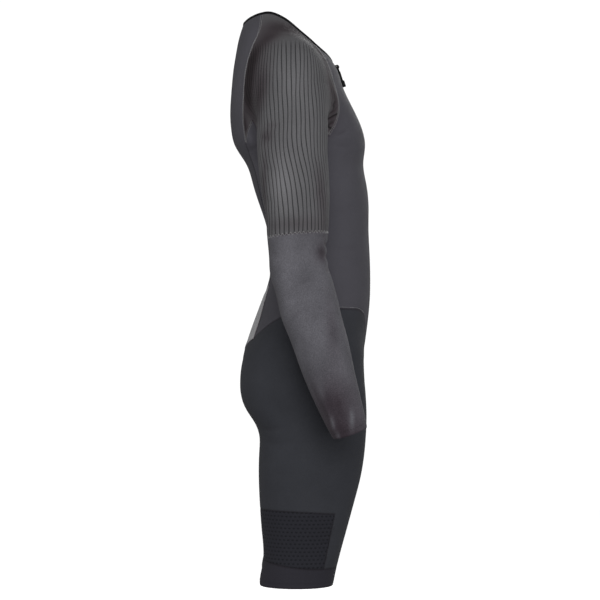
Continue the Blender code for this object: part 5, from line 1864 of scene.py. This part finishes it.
def leg_panels(leg):
    """The shorts leg, whose foot steps down in front of the dotted panel, that panel and the band."""
    rows = (0, SEAT_ROWS, THIGH_ROW, PANEL_TOP_ROW, PANEL_FOOT_ROW, HEM_ROW)
    breaks = {"start": rows, "end": rows, "top": WAIST_BREAKS}
    ends = (0, LEG_COLUMNS)
    panel_rows = (PANEL_TOP_ROW, PANEL_FOOT_ROW)
    shorts_down = cuts(0, PANEL_TOP_ROW, SHORTS_PARTS, (0, PANEL_TOP_ROW))
    shorts_across = cuts(*ends, SHORTS_PARTS, (0, LEG_PANEL_FROM, LEG_COLUMNS))
    step_down = cuts(*panel_rows, SHORTS_PARTS, panel_rows)
    step_across = cuts(0, LEG_PANEL_FROM, SHORTS_PARTS, (0, LEG_PANEL_FROM))
    shorts = Panel(Patch(leg, shorts_down, shorts_across, breaks), Patch(leg, step_down, step_across, breaks))
    dotted_across = cuts(LEG_PANEL_FROM, LEG_COLUMNS, DOT_PARTS[1])
    dotted = Panel(Patch(leg, cuts(*panel_rows, DOT_PARTS[0]), dotted_across, breaks))
    band_down = cuts(PANEL_FOOT_ROW, HEM_ROW, BAND_PARTS, (PANEL_FOOT_ROW, HEM_ROW))
    band = Panel(Patch(leg, band_down, cuts(*ends, SHORTS_PARTS, ends), breaks))
    return {"shorts": shorts, "leg_panel": dotted, "leg_band": band}


def make_panels(grids):
    """Every cut piece of cloth, finely meshed, by name. Of two sides it is the right-hand one."""
    fronts = {"front": front_panel(grids)}
    return fronts | sleeve_panels(grids) | leg_panels(grids["leg"]) | back_panels(grids["back"])


def make_piece(name, word, panel):
    """One piece of cloth, which stands for its solid and rides on the suit."""
    finish, flat = CUTS[name]
    lift, thickness = 0.0, CLOTH
    if name == "back_pocket":
        lift, thickness = SEAM_GAP + POCKET_LIFT, TRIM_CLOTH
    made = make_shell(name + word + "_cloth", panel, finish, RELIEFS.get(name), lift, thickness)
    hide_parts(name + word)
    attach(made, "suit")
    cloth_area(panel) / STRETCH


def make_cloth(panels):
    """All pieces of cloth, on both sides."""
    for name in CUTS:
        if name in MIDDLE_PIECES:
            make_piece(name, "", panels[name])
        else:
            make_piece(name, "_right", panels[name])
            make_piece(name, "_left", panels[name].mirrored())


def beside(lines, offsets=TWIN_ROWS):
    """Rows of stitches beside each of some seams."""
    return [line.running(offset) for line in lines for offset in offsets]


def raglan_rows(grids, side):
    """Stitches of the seams between the upper sleeve and the body."""
    lines = [
        SeamLine(grids["front_upper"][:, -1], side=side),
        SeamLine(grids["back"][: TAIL_FOOT_ROW + 1, 0], (0, BACK_RAGLAN_ROWS, TAIL_FOOT_ROW), side),
        SeamLine(grids["tail"][:, 0], side=side),
    ]
    return beside(lines)


def elbow_rows(grids, side):
    """The zigzag of the elbow seam."""
    return [SeamLine(grids["sleeve"][ELBOW_ROW], side=side).zigzag(ELBOW_HALF_WIDTH, ELBOW_PITCH)]


def waist_highlight_rows(grids, side):
    """The grey row of stitches above the waist seam beside the tongue, which gives the seam's edge a painted
    highlight.
    """
    columns = slice(TONGUE_COLUMNS, TONGUE_COLUMNS + WAIST_HIGHLIGHT_ROW_COLUMNS)
    return [SeamLine(grids["leg"][0, columns], side=side).running(WAIST_HIGHLIGHT_ROW)]


def body_rows(grids, side):
    """Stitches of the body's own seams, and the row beside the zip."""
    upper, lower = grids["front_upper"], grids["front_lower"]
    underarm = FRONT_COLUMNS + UNDERARM_COLUMNS
    lines = [
        SeamLine(grids["back"][TAIL_FOOT_ROW:, 0], side=side),
        SeamLine(grids["leg"][0], WAIST_BREAKS, side),
        SeamLine(lower[0, FRONT_COLUMNS : underarm + 1], side=side),
        SeamLine(lower[0, underarm:-1], side=side),
    ]
    zip_lines = [SeamLine(upper[:, 0], side=side), SeamLine(lower[:, 0], ZIP_BREAKS, side)]
    return beside(lines) + beside(zip_lines, (ZIP_ROW,))


def limb_rows(grids, side):
    """Stitches of the limbs' inner seams and edges, and of the leg's centre seams."""
    sleeve, leg = grids["sleeve"], grids["leg"]
    seams = [
        sleeve[ARM_ROW : ELBOW_ROW + 1, 0],
        sleeve[ELBOW_ROW:, 0],
        leg[THIGH_ROW : PANEL_TOP_ROW + 1, 0],
        leg[PANEL_TOP_ROW : PANEL_FOOT_ROW + 1, 0],
        leg[PANEL_TOP_ROW, LEG_PANEL_FROM:],
        leg[PANEL_TOP_ROW : PANEL_FOOT_ROW + 1, LEG_PANEL_FROM],
        leg[PANEL_FOOT_ROW],
    ]
    rows = beside([SeamLine(curve, side=side) for curve in seams])
    rows += beside([SeamLine(grid[-1], side=side) for grid in (sleeve, leg)], (CUFF_ROW,))
    rows += beside([SeamLine(leg[: SEAT_ROWS + 1, -1], side=side)], (CENTRE_ROW,))
    return rows + beside([SeamLine(leg[: SEAT_ROWS + 1, 0], side=side)], (-CENTRE_ROW,))


def make_seams(grids):
    """The rows of stitches, one object a side for each kind."""
    kinds = (
        ("raglan", raglan_rows, "grey_thread", "ribbed_cloth", RAGLAN_RADIUS),
        ("elbow", elbow_rows, "grey_thread", "sleeve_cloth", STITCH_RADIUS),
        # grey stitches that stand in for a painted highlight along the waist seam
        ("waist", waist_highlight_rows, "grey_thread", "body_cloth", STITCH_RADIUS),
        ("body", body_rows, "dark_thread", "body_cloth", STITCH_RADIUS),
        ("limbs", limb_rows, "dark_thread", "shorts_cloth", STITCH_RADIUS),
    )
    for word, side in SIDES:
        for kind, rows_of, thread, slot, radius in kinds:
            stitched(f"stitches_{kind}_{word}", rows_of(grids, side), thread, radius)


# ---------------------------------------------------------------------------------------------
# Camera, light and floor.

CAMERA_PLACE = (-3.6, -0.0261, -0.4872)
CAMERA_TURN = (math.pi / 2, 0, -math.pi / 2)
LENS = 124.1
SENSOR = 36.0
FLOOR_HEIGHT = -1.55
FLOOR_SIZE = 14.0
FLOOR_COLOUR = (0.9, 0.9, 0.9, 1)
FLOOR_ROUGHNESS = 0.9
WHITE = (1, 1, 1, 1)
WORLD_STRENGTH = 0.28  # as light on the suit
BACKDROP_STRENGTH = 1.05  # as the camera sees it
FLOOR_GLOW = 0.75
# Soft lights: place, size, power. Each looks at the suit.
LIGHTS = {
    "key": ((-3.7, -0.45, 0.3), 2.6, 134.0),
    "rear": ((-0.3, 3.4, 0.4), 1.4, 30.0),
    "front": ((0.5, -3.4, 0.2), 1.2, 18.0),
    "far": ((3.4, -1.0, 1.0), 2.0, 60.0),
}
LIGHT_TARGET = (0.0, -0.02, -0.45)


def link(made):
    bpy.context.scene.collection.objects.link(made)
    return made


def make_camera():
    data = bpy.data.cameras.new("camera")
    data.lens = LENS
    data.sensor_width = SENSOR
    made = link(bpy.data.objects.new("camera", data))
    made.location = CAMERA_PLACE
    made.rotation_euler = CAMERA_TURN
    bpy.context.scene.camera = made


def make_light(name, place, size, power):
    """A round soft light that faces the suit."""
    data = bpy.data.lights.new(name, "AREA")
    data.shape = "DISK"
    data.size = size
    data.energy = power
    away = unit(np.array(place) - np.array(LIGHT_TARGET))
    across = unit(np.cross(UP, away))
    matrix = np.eye(4)
    matrix[:3, :3] = np.stack([across, np.cross(away, across), away], axis=-1)
    matrix[:3, 3] = place
    made = bpy.data.objects.new(name, data)
    made.matrix_world = Matrix(matrix.tolist())
    link(made)


def make_world():
    """Even white light, which the camera sees brighter as the backdrop."""
    world = bpy.data.worlds.new("studio")
    world.use_nodes = True
    background = world.node_tree.nodes["Background"]
    background.inputs["Color"].default_value = WHITE
    rays = world.node_tree.nodes.new("ShaderNodeLightPath").outputs["Is Camera Ray"]
    strength = world.node_tree.nodes.new("ShaderNodeMapRange")
    strength.inputs["To Min"].default_value = WORLD_STRENGTH
    strength.inputs["To Max"].default_value = BACKDROP_STRENGTH
    world.node_tree.links.new(rays, strength.inputs["Value"])
    world.node_tree.links.new(strength.outputs["Result"], background.inputs["Strength"])
    bpy.context.scene.world = world
    bpy.context.scene.view_settings.view_transform = "Standard"


def make_floor():
    """A plain white floor that sends no colour back to the suit."""
    half = FLOOR_SIZE / 2
    mesh = bpy.data.meshes.new("floor")
    corners = [(-half, -half), (half, -half), (half, half), (-half, half)]
    mesh.from_pydata([(x, y, FLOOR_HEIGHT) for x, y in corners], [], [(0, 1, 2, 3)])
    looks = {
        "Base Color": FLOOR_COLOUR,
        "Roughness": FLOOR_ROUGHNESS,
        "Emission Color": WHITE,
        "Emission Strength": FLOOR_GLOW,
    }
    mesh.materials.append(Shading("floor").finish(looks))
    floor = link(bpy.data.objects.new("floor", mesh))
    floor.visible_diffuse = False
    floor.visible_glossy = False


FINISHES = {name: cloth_material(name) for name in CLOTHS} | {"zip_metal": metal_material()}
FOLD_LINES = all_folds()
PAINTED_LIGHT_PLACES = painted_light_places()
RIB_SPINE = rib_spine()

make_camera()
make_world()
make_floor()
for light, settings in LIGHTS.items():
    make_light(light, *settings)
suit_grids = body_grids()
make_cloth(make_panels(suit_grids))
make_seams(suit_grids)
make_binding(suit_grids["neckline"])
make_tapes(suit_grids)
make_teeth()
make_zip_metal()
